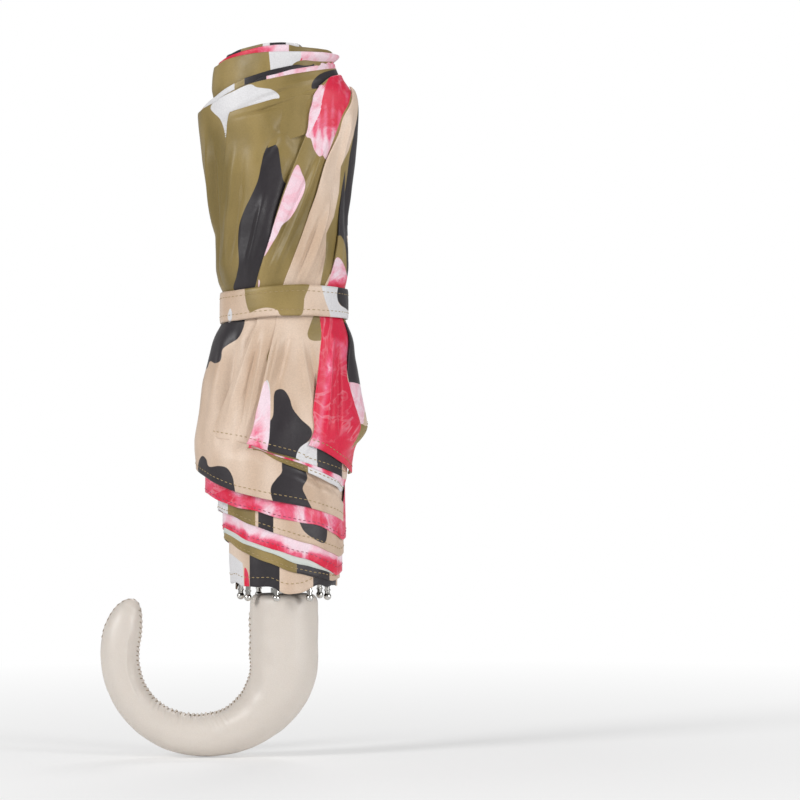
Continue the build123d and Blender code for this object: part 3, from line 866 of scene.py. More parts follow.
# -- pleat B
PATCHES_B = [
    OLIVE_ABOVE_STRAP,
    patch("pink", [(14, 45.5), (20.5, 45), (19.25, 56), (15, 66), (11.5, 69.5), (11, 56)],
          tone=0.13),
    patch("pink", [
        (24.5, 37.5), (34, 36.5), (33, 51), (29.75, 58), (26.5, 67), (23, 76.5), (21.5, 81),
        (19.75, 79), (18, 79.5), (15.5, 76), (14, 71), (11.75, 69.75), (14.5, 65),
        (18.25, 57), (19.5, 49.5)],
        tone=lambda x, drop: np.clip(0.95 - 0.95 * sstep(drop, 56, 76)
                                     + 0.15 * np.sin(1.8 * x + 4.27259), 0.05, 1)),
    patch("pink", [
        (7, 84), (9.75, 88.5), (11.2, 92.65), (10.5, 97.5), (8, 103), (6, 107), (3, 111),
        (-0.2, 113.75), (-2.5, 118.5), (-5.5, 123.5), (-9, 129), (-9, 124), (-6, 118),
        (-2.5, 108), (2, 95)], tone=0.08),
    patch("pink", [(-13, 140.5), (-11.25, 141.5), (-12.5, 146), (-15, 146)], tone=0.05),
    patch("olive", [(-4, 166.5), (-2.5, 171.5), (-4.5, 178), (-7, 183), (-7.75, 179),
                    (-5.5, 172.5)]),
]
points_b = pleat(
    "wrap_pleat_b", lead["B"], shifted(lead["C"], 16),
    edge_curve([(10.5, 49.5), (15.5, 47.75), (19, 44.75), (22, 41.75), (24.5, 39.65),
                (28, 38.4), (31.5, 39.25)], ends=[(95, 44)]),
    edge_curve([(-39.5, 217), (-35.65, 218), (-24.5, 220), (-16.3, 221.65), (-11, 223),
                (-2, 225)]),
    PATCHES_B, seed=2, columns=70, rows=240, start=2.3, end=-0.4, puff=0.9,
    folds=[(25, 65, -6, 142.5, 1.75, 0.7), (19, 75, -11, 142.5, 1.25, -0.5),
           (-12.5, 163, -29, 214, 1.75, 0.7), (-11, 164, -24, 218, 1.5, -0.8),
           (-8, 165, -19, 220, 1.75, 0.6), (-16, 165, -33.5, 212.5, 1.1, -0.4)])

# -- pleat C
PATCHES_C = [
    panel("olive", [
        (37.75, 47.5), (36, 64.5), (32.5, 76), (28.65, 84.35), (27.7, 96.75), (25.2, 109),
        (21.5, 117.5), (21.1, 129), (18.6, 142.5), (18.5, 151.5), (88, 151.5), (88, 40)]),
    patch("pink", [(-8.8, 191), (-6.5, 194.5), (-5.9, 205), (-7, 223), (-11, 226), (-19, 224),
                   (-16, 216), (-12, 202.5)],
          tone=lambda x, drop: unit(0.02 + 0.36 * sstep(drop, 197.5, 218) * sstep(x, -7, -12.5)
                                    + 0.3 * sstep(drop, 221, 223))),
    patch("white", [(-8, 190.5), (-6.25, 193), (-5.85, 205), (-6.5, 220), (-8.5, 223),
                    (-8.5, 210), (-8, 200)]),
    patch("black", [
        (-4.05, 197.25), (-2, 194.75), (1, 195.25), (3.6, 199.2), (5.25, 204.3), (9.2, 209.4),
        (14.35, 214.5), (13.5, 219.5), (8.5, 224), (7.5, 229), (0, 228), (-7.1, 224.5),
        (-6.8, 212.5), (-4.5, 207.5)]),
    patch("white", [(8, 224.5), (13, 220.5), (17, 220), (19, 228), (17, 236), (7.5, 231)]),
    patch("pink", [(12, 230.5), (15, 224.5), (17.5, 223), (19, 228.5), (17, 234),
                   (13.5, 233)], tone=0.10),
    patch("black", [(15, 226), (19, 225), (30.5, 231), (30.5, 243), (16, 236), (14, 231)]),
    patch("olive", [(16.5, 156), (20.5, 156), (19.75, 169), (17, 170.75), (13.75, 170.25),
                    (12.4, 168.25), (12.8, 165)]),
]
points_c = pleat(
    "wrap_pleat_c", lead["C"], shifted(lead["D"], 16),
    edge_curve([(27, 44), (31, 43.25), (34, 43.6), (37, 46.5)], ends=[(86, 47.5), (110, 52)]),
    edge_curve([(-19, 220.5), (-15.8, 221.75), (-7.1, 224.7), (7.2, 228.5), (14.35, 231.85),
                (23, 235)]),
    PATCHES_C, seed=3, columns=76, rows=250, start=2.5, end=-0.2, puff=0.9,
    folds=[(33.5, 55, 26.5, 92.5, 1.3, 0.9), (28, 82.5, 21, 120, 1.4, -0.5),
           (26, 95, 11, 143, 1.5, 0.8), (19, 107.5, 6, 143, 1.2, -0.6),
           (23, 117.5, 17, 143, 1.25, -0.6), (0, 163, -8, 200, 1.5, 0.7),
           (4, 163, -4, 197.5, 1.5, -0.6), (8, 165, 16, 210, 2, 0.6),
           (13, 170, 23, 220, 1.5, -0.5)],
    extra=lambda across, angle, drop: (
        0.9 * sstep(drop, 197.5, 215) * (1 - sstep(across, 0.7, 0.9))
        + 0.5 * np.sin(0.15 * drop + 0.105 * angle) * gauss(across, 0.25, 0.25)
        * sstep(drop, 60, 75)))

# -- pleat D
PATCHES_D = [
    patch("black", [
        (26, 40), (44, 39), (58, 45), (60, 90), (59, 135), (48, 146), (33, 146), (31.25, 141),
        (31.4, 134), (31.1, 126), (30.3, 121.5), (28.75, 118.5), (26, 115.5), (23.5, 90),
        (24, 55)]),
    box("olive", 20.5, 32.5, 112.5, 137.5),
    patch("olive", [(29.5, 95), (31.25, 98), (30.5, 115), (29.5, 120), (27.5, 119),
                    (28.5, 107.5)]),
    patch("pink", [(26.25, 129.5), (30.25, 133), (32.25, 143), (32.5, 150), (19, 150),
                   (22.5, 142)],
          tone=lambda x, drop: unit(0.15 + 0.8 * sstep(drop, 134, 145))),
    box("pink", 6, 45.5, 152, 250,
        tone=lambda x, drop: unit(
            0.97 - 0.75 * gauss(x, 14.5, 4) * gauss(drop, 221.5, 5)
            - 0.22 * gauss(x + 0.15 * drop, 50.5, 1.2) * sstep(drop, 165, 180)
            - 0.5 * gauss(x, 30, 2.5) * gauss(drop, 176, 7)
            - 0.35 * gauss(x, 23, 3.5) * gauss(drop, 186, 5))),
]
points_d = pleat(
    "wrap_pleat_d", lead["D"], shifted(lead["E"], 16),
    over_angle([(60, 52), (80, 52.5), (100, 54), (130, 56)], 3),
    edge_curve([(10.5, 221.5), (13.8, 222.5), (19.45, 224.7), (28, 230.5), (34.25, 235.75)],
               ends=[(100, 237)]),
    PATCHES_D, seed=4, columns=60, rows=240, start=2.1, end=-0.2, puff=0.6,
    extra=lambda across, angle, drop: 0.9 * sstep(drop, 175, 200),
    folds=[(25, 162.5, 21, 220, 1.3, 0.7), (29, 165, 27, 227.5, 1.1, -0.6),
           (32.5, 65, 30.5, 140, 1, -0.5)])

# -- pleats E, F and G, round the right side and the back
PATCHES_E = [
    box("olive", 23, 58, 45, 169),
    patch("black", [(28, 161), (36, 168), (38.75, 186), (42, 195.5), (34, 194), (31, 181)]),
    patch("pink", [(30.5, 192), (39.5, 193), (41, 200), (40.25, 206.5), (39, 212),
                   (31, 204.5)], tone=lambda x, drop: unit(0.1 + 0.4 * sstep(x, 34, 31))),
    patch("olive", [(30, 205.5), (34, 206.25), (37, 209.5), (40, 212.5), (43.5, 214),
                    (40, 221), (33, 231), (28, 231)]),
]
points_e = pleat(
    "wrap_pleat_e", lead["E"], shifted(lead["F"], 20),
    over_angle([(80, 54), (120, 55), (160, 52)], 3),
    over_angle([(40, 231), (62, 229.5), (66, 226), (78, 220), (90, 214), (104, 216),
                (125, 222.5), (150, 225)], 2),
    PATCHES_E, seed=5, columns=60, rows=220, start=1.6, end=-0.9, puff=0.8)
points_f = pleat(
    "wrap_pleat_f", lead["F"], shifted(lead["G"], 20),
    over_angle([(100, 53), (150, 51), (200, 49)], 3),
    over_angle([(100, 224), (150, 226), (200, 229)], 3),
    [], seed=6, columns=64, rows=200, start=1.9, end=-0.9, puff=1.1)
points_g = pleat(
    "wrap_pleat_g", lead["G"], shifted(lead["H"], 20),
    over_angle([(140, 49), (200, 48), (250, 50)], 3),
    over_angle([(140, 226), (200, 229), (250, 231)], 3),
    [], seed=7, columns=64, rows=200, start=1.9, end=-0.9, puff=1.1)

# -- pleat H comes round from the back and shows above pleat A's top edge
PATCHES_H = [
    box("olive", FAR_LEFT, FAR_RIGHT, 10, 250),
    patch("white", [
        (-35.5, 53.5), (-33, 51), (-25, 47.5), (-16.5, 44), (-13, 45.4), (-9, 46),
        (-5.5, 46.6), (-2, 49), (-2.25, 51.5), (-9, 53.5), (-16.5, 55.5), (-22.5, 58),
        (-25, 59.5), (-26.25, 65), (-27.85, 73), (-29.25, 65.5), (-31.25, 60.7),
        (-34.15, 57.8), (-36, 55.5)]),
    patch("black", [
        (14.25, 45.75), (14.75, 42.5), (17.5, 39), (21.5, 36.75), (27, 35), (34, 34),
        (34, 45), (25, 45.5), (21, 46), (17, 46.25)]),
]
# its own wider rows at the top: (drop, left x, right x)
ROWS_H = [(30, -39, 28), (35, -40, 28.75), (40, -41, 31), (46, -42.5, 36.5),
          (52, -43.5, 37.5)] + [row for row in BUNDLE_ROWS if row[0] >= 58]
OUTLINE_H = Outline(over_drop([(drop, left) for drop, left, _ in ROWS_H], 1),
                    over_drop([(drop, right) for drop, _, right in ROWS_H], 1))
TOP_H = edge_curve(
    [(-42.5, 56.5), (-35.5, 53.1), (-31, 50), (-25, 47.15), (-19, 44.7), (-12, 42.8),
     (-5.5, 41.4), (5.5, 39.15), (16, 37.3), (24, 35.8), (28, 35)],
    ends=[(-125, 53), (-104, 56), (-90, 57.25), (90, 35)], outline=OUTLINE_H, smooth=2)
FOLDS_H = [(-39.5, 62.5, -35, 125, 1.5, 0.8), (-36, 60, -32.5, 140, 1.25, -0.6),
           (-23, 56, 8, 44, 1.1, -0.5), (-17, 50.5, 23, 39, 1.25, 0.4)]


def lift_h(inset):
    """Pleat H's lift, lower towards the right, less an inset for the sheets beneath it."""
    return lambda across, angle, drop: 1.0 - 1.4 * sstep(angle, -30, 60) - inset


pleat("wrap_pleat_h", shifted(lead["H"], -360),
      hand_over(const(80.0), shifted(lead["A"], 22), 50, 82.5), TOP_H,
      over_angle([(-150, 232.5), (-120, 234), (-60, 235), (80, 235)], 3),
      PATCHES_H, seed=8, columns=130, rows=240, outline=OUTLINE_H, wrinkle=0.3,
      extra=lift_h(0.0), folds=FOLDS_H)


# -- rolls inside the top
def roll(name, left, right, depth, top_points, top_ends, bottom, patches, seed, rows, puff):
    """left and right are (drop, x) tables of the roll's outline."""
    outline = Outline(over_drop(left, 1), over_drop(right, 1), const(depth))

    def lift(across, down, angle, drop):
        arc = np.radians(angle) * PRINT_RADIUS
        waves = (LONG_WAVES(arc + seed * 17.3, drop + seed * 9.1) * 0.16
                 + BROAD_WAVES(arc - seed * 7.7, drop) * 0.24)
        return 0.35 * waves * closing_fade(angle) + puff * np.sin(np.pi * down)

    place, fold_lift, slip = fold_params(rows // COARSE, True, thickness=1.0, reach=0.06,
                                         dense=False)
    top = edge_curve(top_points, ends=top_ends, outline=outline, smooth=2)
    closed_sheet(name, outline, top, const(bottom), 230, (place, fold_lift, slip * 0.9), lift,
                 patches, seed)


roll("wrap_roll_outer",
     left=[(25, -33.5), (31, -34.5), (37.5, -35.5), (45, -35.75), (52.5, -34), (62.5, -31)],
     right=[(25, 25.5), (28.5, 28.5), (30.5, 26), (32, 23.5), (35, 21.5), (38, 21), (45, 20),
            (62.5, 19)], depth=21.3,
     top_points=[(-33.25, 33.75), (-29, 31.25), (-22, 29.75), (-14.5, 28.65), (-7, 28.1),
                 (8, 27.8), (20.5, 27.7)],
     top_ends=[(-180, 31), (-140, 32), (-100, 35), (82, 28.25), (140, 30), (180, 31)],
     bottom=64.0, seed=9, rows=40, puff=0.3,
     patches=[OLIVE_TOP,
              panel("white", [(-7.75, 20), (23, 20), (23, 45), (-5.5, 45), (-6.25, 34)]),
              patch("pink", [(10, 20), (23, 20), (31, 24), (31, 40), (8, 40), (7.5, 36),
                             (9, 31)], tone=0.12),
              patch("pink", [(10.25, 25.5), (12, 26), (11.25, 30), (9.5, 33), (8.75, 38),
                             (6.25, 38), (7.25, 33.5), (9.75, 30)], tone=0.98)])
roll("wrap_roll_middle",
     left=[(20, -31), (30, -32.5), (40, -33), (55, -31)],
     right=[(20, 23), (30, 25), (40, 24), (55, 22)], depth=20.4,
     top_points=[(-31, 31.5), (-26, 29), (-19.5, 27.25), (-11, 25.4), (-3, 24.5), (3, 24.45),
                 (6.5, 25.3), (13, 25.6), (22, 26)],
     top_ends=[(-180, 28), (-120, 31), (-90, 32.5), (90, 27), (140, 27), (180, 28)],
     bottom=50.0, seed=10, rows=26, puff=0.1,
     patches=[OLIVE_TOP,
              box("pink", -42, 3, 20, 45,
                  tone=lambda x, drop: np.clip(1.0 - sstep(x, -19, 1), 0.04, 1))])
roll("wrap_roll_inner",
     left=[(20, -27), (30, -29), (45, -29)], right=[(20, 20), (30, 22), (45, 20)], depth=19.5,
     top_points=[(-26, 28), (-22, 26.25), (-16, 25), (-9, 23.6), (0, 23.2), (6, 23.6),
                 (9.5, 25.4)],
     top_ends=[(-180, 26), (-110, 29), (90, 26), (180, 26)],
     bottom=45.0, seed=11, rows=22, puff=0.1,
     patches=[OLIVE_TOP, box("white", -10, -6.5, 10, 45), box("black", -34.5, -21, 10, 45),
              box("black", -6.5, 1.5, 10, 45), box("white", 1.5, 8, 10, 45)])


# -- two narrow edges that show above pleat H
def dark_edge(angle):
    return (TOP_H(np.clip(angle, -88, 80)) - 0.8 - 2.8 * sstep(angle, -80, -48)
            - 0.6 * sstep(angle, -20, 5) + 1.3 * sstep(angle, 22, 34)
            + 0.4 * np.sin(angle * 0.55) * sstep(angle, 30, 45))


def rose_edge(angle):
    return (TOP_H(np.clip(angle, -88, 82)) - 0.3 - 1.3 * sstep(angle, -18, -8)
            - 0.65 * sstep(angle, 0, 20)
            + 0.25 * np.sin(angle * 0.8 + 1) * sstep(angle, 38, 50))


PATCHES_DARK_EDGE = [
    panel("black", [(-19, 10), (15.75, 10), (15, 70), (-19, 70)]),
    box("white", -39.5, -24, 10, 70),
    box("olive", -24, -19, 10, 70),
    panel("olive", [(15.75, 10), (19, 10), (18, 70), (15, 70)]),
    panel("pink", [(19, 10), (58, 10), (58, 70), (18, 70)],
          tone=lambda x, drop: 0.12 + 0.3 * gauss(x, 24.5, 1.5)),
]
PATCHES_ROSE_EDGE = [
    box("black", FAR_LEFT, -8, 10, 70),
    box("pink", -8, 58, 10, 70, tone=lambda x, drop: unit(0.14 + 0.6 * sstep(x, 22.5, 29))),
]
for name, left, right, top, patches, inset in (
        ("wrap_edge_dark", -86.0, 82.0, dark_edge, PATCHES_DARK_EDGE, 0.8),
        ("wrap_edge_rose", -84.0, 84.0, rose_edge, PATCHES_ROSE_EDGE, 0.4)):
    pleat(name, const(left), const(right), top, shifted(top, 15), patches, seed=8, columns=120,
          rows=16, outline=OUTLINE_H, fold_left=False, wrinkle=0.3, extra=lift_h(inset),
          folds=FOLDS_H)


# -- narrow hems between the pleats and the first long hem
def narrow_hem(name, left_angles, bottom, patches, seed, lift, tuck):
    """left_angles are at drops 200 and 250; tuck sinks the right end."""
    return pleat(name, over_drop(list(zip((200, 250), left_angles)), 1), const(100.0),
                 const(212.5), bottom, patches, seed, columns=90, rows=60, start=lift, end=lift,
                 fold_left=False, fold_top=False, wrinkle=0.12,
                 extra=lambda across, angle, drop: -tuck * sstep(angle, 58, 74))


points_hem_a = narrow_hem("wrap_hem_a", (-16, -18), HEM_A_EDGE, [
    panel("black", [(8, 220), (29.25, 220), (29.25, 250), (17.25, 250), (17.25, 231),
                    (8, 227.5)]),
    box("olive", -11, 8, 220, 250),
    box("white", 8.5, 17, 220, 250)], seed=14, lift=1.35, tuck=2.4)
narrow_hem("wrap_hem_c", (-18, -21), HEM_C_EDGE, [
    box("pink", -42, 68, 200, 270,
        tone=lambda x, drop: np.clip(0.35 + 0.5 * np.sin(0.66 * x + 5.75541), 0.05, 0.95))],
    seed=16, lift=0.85, tuck=2.0)
points_hem_b = narrow_hem("wrap_hem_b", (-20, -24), HEM_B_EDGE, [
    panel("olive", [(-14.5, 220), (12.25, 220), (13.25, 250), (-14.5, 250)]),
    panel("white", [(12.25, 220), (48, 220), (48, 255), (13.25, 255)])],
    seed=15, lift=0.35, tuck=1.6)


# -- the layered hems below
def layer(name, left, right, depth, top, edge, back, patches, seed, wave=0.6, tuck=0.0,
          material=FABRIC):
    """A ring of cloth; edge is its (x, drop) lower edge in front, back its drop behind."""
    outline = Outline(const(left), const(right), const(depth))
    lower = edge_curve(edge, ends=[(-180, back), (-130, (back + edge[0][1]) / 2),
                                   (130, (back + edge[-1][1]) / 2), (180, back)],
                       outline=outline, smooth=4)

    def bottom(angle):
        turn = np.radians(angle)
        return lower(angle) + wave * (0.3 * np.sin(turn * 8) + 0.25 * np.sin(turn * 13 + seed))

    def lift(across, down, angle, drop):
        arc = np.radians(angle) * PRINT_RADIUS
        waves = (LONG_WAVES(arc + 17.3, drop + 9.1) * 0.20
                 + BROAD_WAVES(arc - 7.7, drop) * 0.26)
        scallop = 0.35 * np.sin(np.radians(angle) * 8 + 1.0) * sstep(drop, 240, 280)
        return (waves * 0.6 + scallop) * closing_fade(angle) - tuck * sstep(down, 0.6, 1)

    flat = np.zeros(30 // COARSE)
    rows = hem_params(np.linspace(0, 1, 30 // COARSE), flat, flat)
    return closed_sheet(name, outline, top, bottom, 260, rows, lift, patches, seed, material)


points_layer_1 = layer(
    "wrap_layer_1", left=-39.25, right=30.5, depth=27.2,
    top=over_angle([(-180, 218), (-135, 219), (-95, 229), (-75, 232), (-55, 235), (0, 246),
                    (40, 252.5), (74, 256), (86, 240), (96, 223), (135, 219), (180, 218)], 3),
    edge=[(-38.75, 245), (-31.6, 250.2), (-11.2, 255.3), (-1, 258.35), (19.45, 262.45),
          (29.5, 270)], back=256, seed=21,
    patches=[box("pink", -67, 68, 200, 310, tone=lambda x, drop: unit(
        0.82 - 0.5 * gauss(x, -8, 4.5) - 0.45 * gauss(x, 8, 3.5) - 0.35 * gauss(x, 22, 4)
        - 0.3 * gauss(x, -22, 3)))])
points_layer_2 = layer(
    "wrap_layer_2", left=-32.75, right=29.25, depth=26.3, top=const(242.0),
    edge=[(-32.25, 254), (-22, 258.5), (-13.2, 262.45), (9.2, 269.6), (28, 278.25)],
    back=265, seed=22,
    patches=[box("white", -67, -27.5, 240, 310), box("olive", -27.5, -13.5, 240, 310),
             box("black", -12, -4.5, 240, 310),
             patch("black", [(8, 256), (16, 259), (21.5, 262), (21, 270.5), (16, 269),
                             (10, 264)])])
points_layer_3 = layer(
    "wrap_layer_3", left=-30.25, right=28.5, depth=25.5, top=const(250.0),
    edge=[(-29.25, 263), (-22, 267), (-11.2, 271.65), (11.25, 278.25), (27, 287.5)],
    back=274, seed=23,
    patches=[box("pink", -67, 68, 200, 310, tone=lambda x, drop: unit(
        0.08 + 0.85 * sstep(drop - 0.33 * x, 269.06, 274.06) - 0.6 * gauss(x, 8, 4.5)
        - 0.45 * gauss(x, -16, 2.5)))])
layer("wrap_lining", left=-29.75, right=27.75, depth=24.95, top=const(252.5),
      edge=[(-29, 265.5), (-18.5, 271), (-4.5, 276), (8, 281), (26.5, 287)],
      back=276, seed=24, patches=[], material=LINING)
points_layer_4 = layer(
    "wrap_layer_4", left=-29.5, right=27.25, depth=24.3, top=const(256.0),
    edge=[(-29, 268.5), (-18.35, 275.5), (-7, 280.5), (6.5, 285.25), (15.5, 287.5), (26, 290)],
    back=280, seed=25,
    patches=[box("olive", -67, 7, 240, 310), box("black", 7, 23, 240, 310)])
points_layer_5 = layer(
    "wrap_layer_5", left=-27, right=26.5, depth=23.4, top=const(260.0),
    edge=[(-26, 290.5), (-18.5, 292.5), (-11, 291.5), (-6.5, 293), (0.5, 295), (9.5, 295.75),
          (14.5, 293), (19, 291.5), (25.5, 292.5)],
    back=292, seed=26, wave=1.6, tuck=0.5,
    patches=[box("black", -16.5, -1.5, 250, 310),
             panel("white", [(-67, 276.5), (-26.5, 276.5), (-20, 281), (-18.5, 310),
                             (-67, 310)]),
             box("black", 15, 26, 250, 310),
             patch("pink", [(-19, 283), (-17, 287), (-16.75, 298), (-18.75, 299),
                            (-19.25, 290)], tone=0.95)])

# -- stitches along the hems: (sheet, mm above its lower edge, thread: 0 tan, 1 rose)
for points, height, thread in (
        (points_a, 3.2, 0), (points_b, 2.7, 0), (points_c, 2.9, 0), (points_d, 3.3, 0),
        (points_e, 3, 0), (points_f, 2.3, 0), (points_g, 2.3, 0), (points_hem_a, 2.8, 0),
        (points_hem_b, 1.5, 0), (points_layer_1, 2.7, 1), (points_layer_2, 2.5, 0),
        (points_layer_3, 2.3, 1), (points_layer_4, 2, 0), (points_layer_5, 4.5, 0)):
    last = points.shape[0] - 1 - HEM_ROWS
    spacing = np.mean(np.abs(points[last, :, 2] - points[last - 1, :, 2])) / MM
    row = last - max(1, int(round(height / spacing)))
    stitch_path(threads, points[row], outward(points)[row], pitch=2.6 * MM, fill=0.62,
                radius=0.20 * MM, lift=0.10 * MM, slot=thread)

# ---- strap ---------------------------------------------------------------------
STRAP_OUTLINE = Outline(const(-31.8), const(31.6))
STRAP_TOP = edge_curve(
    [(-32.5, 146.65), (-24.5, 145.75), (-11, 144.1), (3, 143), (10.25, 142.75), (20.5, 143.4),
     (31, 144.6)],
    ends=[(-180, 145), (-120, 147), (130, 145.5), (180, 145)], outline=STRAP_OUTLINE, smooth=4)
STRAP_BOTTOM = edge_curve(
    [(-32.5, 161.95), (-22, 160.5), (-11, 159), (-3, 158.35), (13, 158.3), (31, 159.4)],
    ends=[(-180, 160.5), (-120, 162.5), (130, 160.5), (180, 160.5)], outline=STRAP_OUTLINE,
    smooth=4)
STRAP_PATCHES = [
    patch("olive", [
        (-18.5, 140), (11.25, 140), (10.75, 150), (9.75, 157.35), (6, 158.5), (-0.75, 158.25),
        (-2.75, 155.5), (-8, 154.4), (-12.5, 155.25), (-16.25, 156.5), (-18.2, 151.5),
        (-18.9, 145)]),
    patch("white", [
        (19.25, 140), (27, 140), (26.75, 148), (28, 152.5), (32, 155.5), (34, 162.5),
        (25, 162.5), (23, 156), (20.5, 149)]),
    patch("black", [(25.9, 141), (34, 140), (34, 154.5), (30, 154), (27.25, 151),
                    (26.25, 147)]),
    patch("white", [(-27.25, 160.5), (-27.5, 157.5), (-26.25, 154.5), (-25.3, 157),
                    (-25.75, 160.5)]),
]
STRAP_COLUMNS, STRAP_ROWS = 260 // COARSE, 16
STRAP_THICKNESS = 0.9


def build_strap():
    """A closed band with a line of stitches near each edge."""
    angle, down = np.meshgrid(np.linspace(-180, 180, STRAP_COLUMNS + 1)[:-1],
                              np.linspace(0, 1, STRAP_ROWS))
    drop = STRAP_TOP(angle) + (STRAP_BOTTOM(angle) - STRAP_TOP(angle)) * down
    from_middle = np.abs(down - 0.5)
    ripple = 0.10 * BROAD_WAVES(np.radians(angle) * PRINT_RADIUS, drop)
    # rounded off at its edges, with a shallow groove along each side
    lift = (0.55 + ripple * sstep(180 - np.abs(angle), 0, 20) - 0.35 * (from_middle * 2) ** 8
            - 0.12 * gauss(from_middle, 0.27, 0.04))
    outer = STRAP_OUTLINE.at(angle, drop, lift)
    inner = STRAP_OUTLINE.at(angle, drop, lift - STRAP_THICKNESS)
    colours = paint(outer, angle, STRAP_PATCHES, 31)
    builder = MeshBuilder()
    builder.grid(np.concatenate([outer, inner[::-1]]),
                 {key: np.concatenate([value, value[::-1]]) for key, value in colours.items()},
                 wrap_columns=True, wrap_rows=True, flip=True)
    ob = builder.make("strap_band", [FABRIC])
    normals = outward(outer)
    round_trip = np.concatenate([np.arange(STRAP_COLUMNS), [0]])
    for row in (3, STRAP_ROWS - 4):
        stitch_path(threads, outer[row][round_trip], normals[row][round_trip], pitch=2.7 * MM,
                    fill=0.62, radius=0.17 * MM, lift=0.08 * MM)
    return ob


SNAP_RADIUS, SNAP_SIDES = 5.2, 48
# (share of the radius, height in mm)
SNAP_PROFILE = [(0.0, 1.5), (0.35, 1.42), (0.6, 1.2), (0.72, 0.95), (0.74, 0.8), (0.95, 0.75),
                (1.0, 0.5), (0.98, 0.1), (0.9, 0.0), (0.0, 0.0)]


def build_snap():
    """Domed button on the back of the strap."""
    base = float(STRAP_OUTLINE.section(STRAP_MIDDLE)[2]) + STRAP_THICKNESS
    ring = np.linspace(0, 2 * np.pi, SNAP_SIDES + 1)[:-1]
    rows = [np.stack([SNAP_RADIUS * share * np.cos(ring), np.full(SNAP_SIDES, base + height),
                      DROP_ORIGIN - STRAP_MIDDLE + SNAP_RADIUS * share * np.sin(ring)], 1) * MM
            for share, height in SNAP_PROFILE]
    builder = MeshBuilder()
    builder.grid(np.array(rows), wrap_columns=True, flip=True)
    return builder.make("strap_snap_cap", [CHROME])


strap = wrapped["strap_band"] = build_strap()
wrapped["wrap_stitches"] = threads.make("wrap_stitches", [THREAD_TAN, THREAD_ROSE])
snap = wrapped["strap_snap_cap"] = build_snap()

# The wrapped pieces ride with the upper tube.
for ob in wrapped.values():
    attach(ob, "upper_tube")
    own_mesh(ob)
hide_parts("strap")
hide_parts("strap_snap")
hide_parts("canopy_gore_1", "canopy_gore_2", "canopy_gore_3")
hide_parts("canopy_gore_4", "canopy_gore_5", "canopy_gore_6")
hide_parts("canopy_gore_7", "canopy_gore_8")

# ---- the opened canopy ---------------------------------------------------------
# Six pieces: a left and a right half of the top, middle and edge sections. Each half fans out
# from the first rib, so a point's angle from that rib sets its share of the spread. Folded,
# they all lie in one thin fold inside the bundle.
FIRST_RIB = -98.0               # degrees from the front towards +X
HALF_GORE = 22.5
GORE_COLUMNS = 40 // COARSE
CANOPY_PITCH = 5.2
CANOPY_THREAD = 0.32
# The rib's joints when folded: (section it carries, (r, z), degrees it opens by)
RIB_JOINTS = (("top", (7.5, 256.0), 80.96879), ("middle", (10.2, 106.0), -190.65599),
              ("edge", (13.5, 250.0), 163.74765))
# (r, z) along an opened rib
RIB_LINE = np.array([(5.2, 263.1), (11.4, 263.1), (20, 258.2), (60, 252.2), (110, 245.6),
                     (156, 238.2), (225, 213.6), (290.5, 186.6), (360, 141.2), (430, 94.2),
                     (497.5, 47.0)])
RIB_RUN = np.concatenate([[0], np.cumsum(np.linalg.norm(np.diff(RIB_LINE, axis=0), axis=1))])
RIB_LENGTH = RIB_RUN[-1]
MIDDLE_START, EDGE_START = RIB_RUN[5] / RIB_LENGTH, RIB_RUN[7] / RIB_LENGTH
# (section, start, end along the rib, rows)
SECTIONS = (("top", 0.0, MIDDLE_START, 34), ("middle", MIDDLE_START, EDGE_START, 34),
            ("edge", EDGE_START, 1.0, 54))


def folded_points(radius, height, section, bearing=FIRST_RIB, sideways=0.0):
    """Opened (r, z) points carried back to where they lie folded, in metres."""
    r, z = radius, height
    for name, (pivot_r, pivot_z), turn in RIB_JOINTS:
        t = math.radians(-turn)
        dr, dz = r - pivot_r, z - pivot_z
        r = dr * math.cos(t) - dz * math.sin(t) + pivot_r
        z = dr * math.sin(t) + dz * math.cos(t) + pivot_z
        if name == section:
            break
    t = math.radians(bearing)
    return np.stack([r * math.sin(t) - sideways * math.cos(t),
                     -r * math.cos(t) - sideways * math.sin(t), z], -1) * MM


def monotone(q, known, values):
    """Monotone cubic through the points."""
    width = np.diff(known)
    rise = np.diff(values) / width
    slope = np.zeros(len(known))
    slope[1:-1] = np.where(rise[1:] * rise[:-1] > 0,
                           2 * rise[1:] * rise[:-1] / (rise[1:] + rise[:-1] + 1e-12), 0)
    slope[0], slope[-1] = rise[0], rise[-1]
    i = np.clip(np.searchsorted(known, q) - 1, 0, len(width) - 1)
    t = (q - known[i]) / width[i]
    return ((1 + 2 * t) * (1 - t) ** 2 * values[i] + t * (1 - t) ** 2 * width[i] * slope[i]
            + t * t * (3 - 2 * t) * values[i + 1] + t * t * (t - 1) * width[i] * slope[i + 1])


def rib_point(along):
    return (monotone(along * RIB_LENGTH, RIB_RUN, RIB_LINE[:, 0]),
            monotone(along * RIB_LENGTH, RIB_RUN, RIB_LINE[:, 1]))


def dome(along, off_middle, gore):
    """(r, z) of the opened canopy, off_middle being degrees from the gore's middle."""
    r, z = rib_point(along)
    flatness = math.cos(math.radians(HALF_GORE)) / np.cos(np.radians(off_middle))
    r = r * flatness ** (0.92 - 0.10 * along)
    share = np.abs(off_middle) / HALF_GORE
    r = r - 1.2 * (1 - share ** 2) * sstep(along, 0.2, 0.6)
    # small pulls beside the seams
    pull = np.sin(off_middle * 1.1 + gore) * gauss(share, 1, 0.3)
    return r, z + 0.25 * pull * sstep(along, 0.1, 0.3)


def hem_end(off_middle):
    """Where the canopy's edge lies along the rib line; it hollows between the tips."""
    return 1.0 - 0.052 * (1 - (off_middle / HALF_GORE) ** 2) ** 0.85


def spread_share(from_rib):
    return np.abs(from_rib) / 179.5


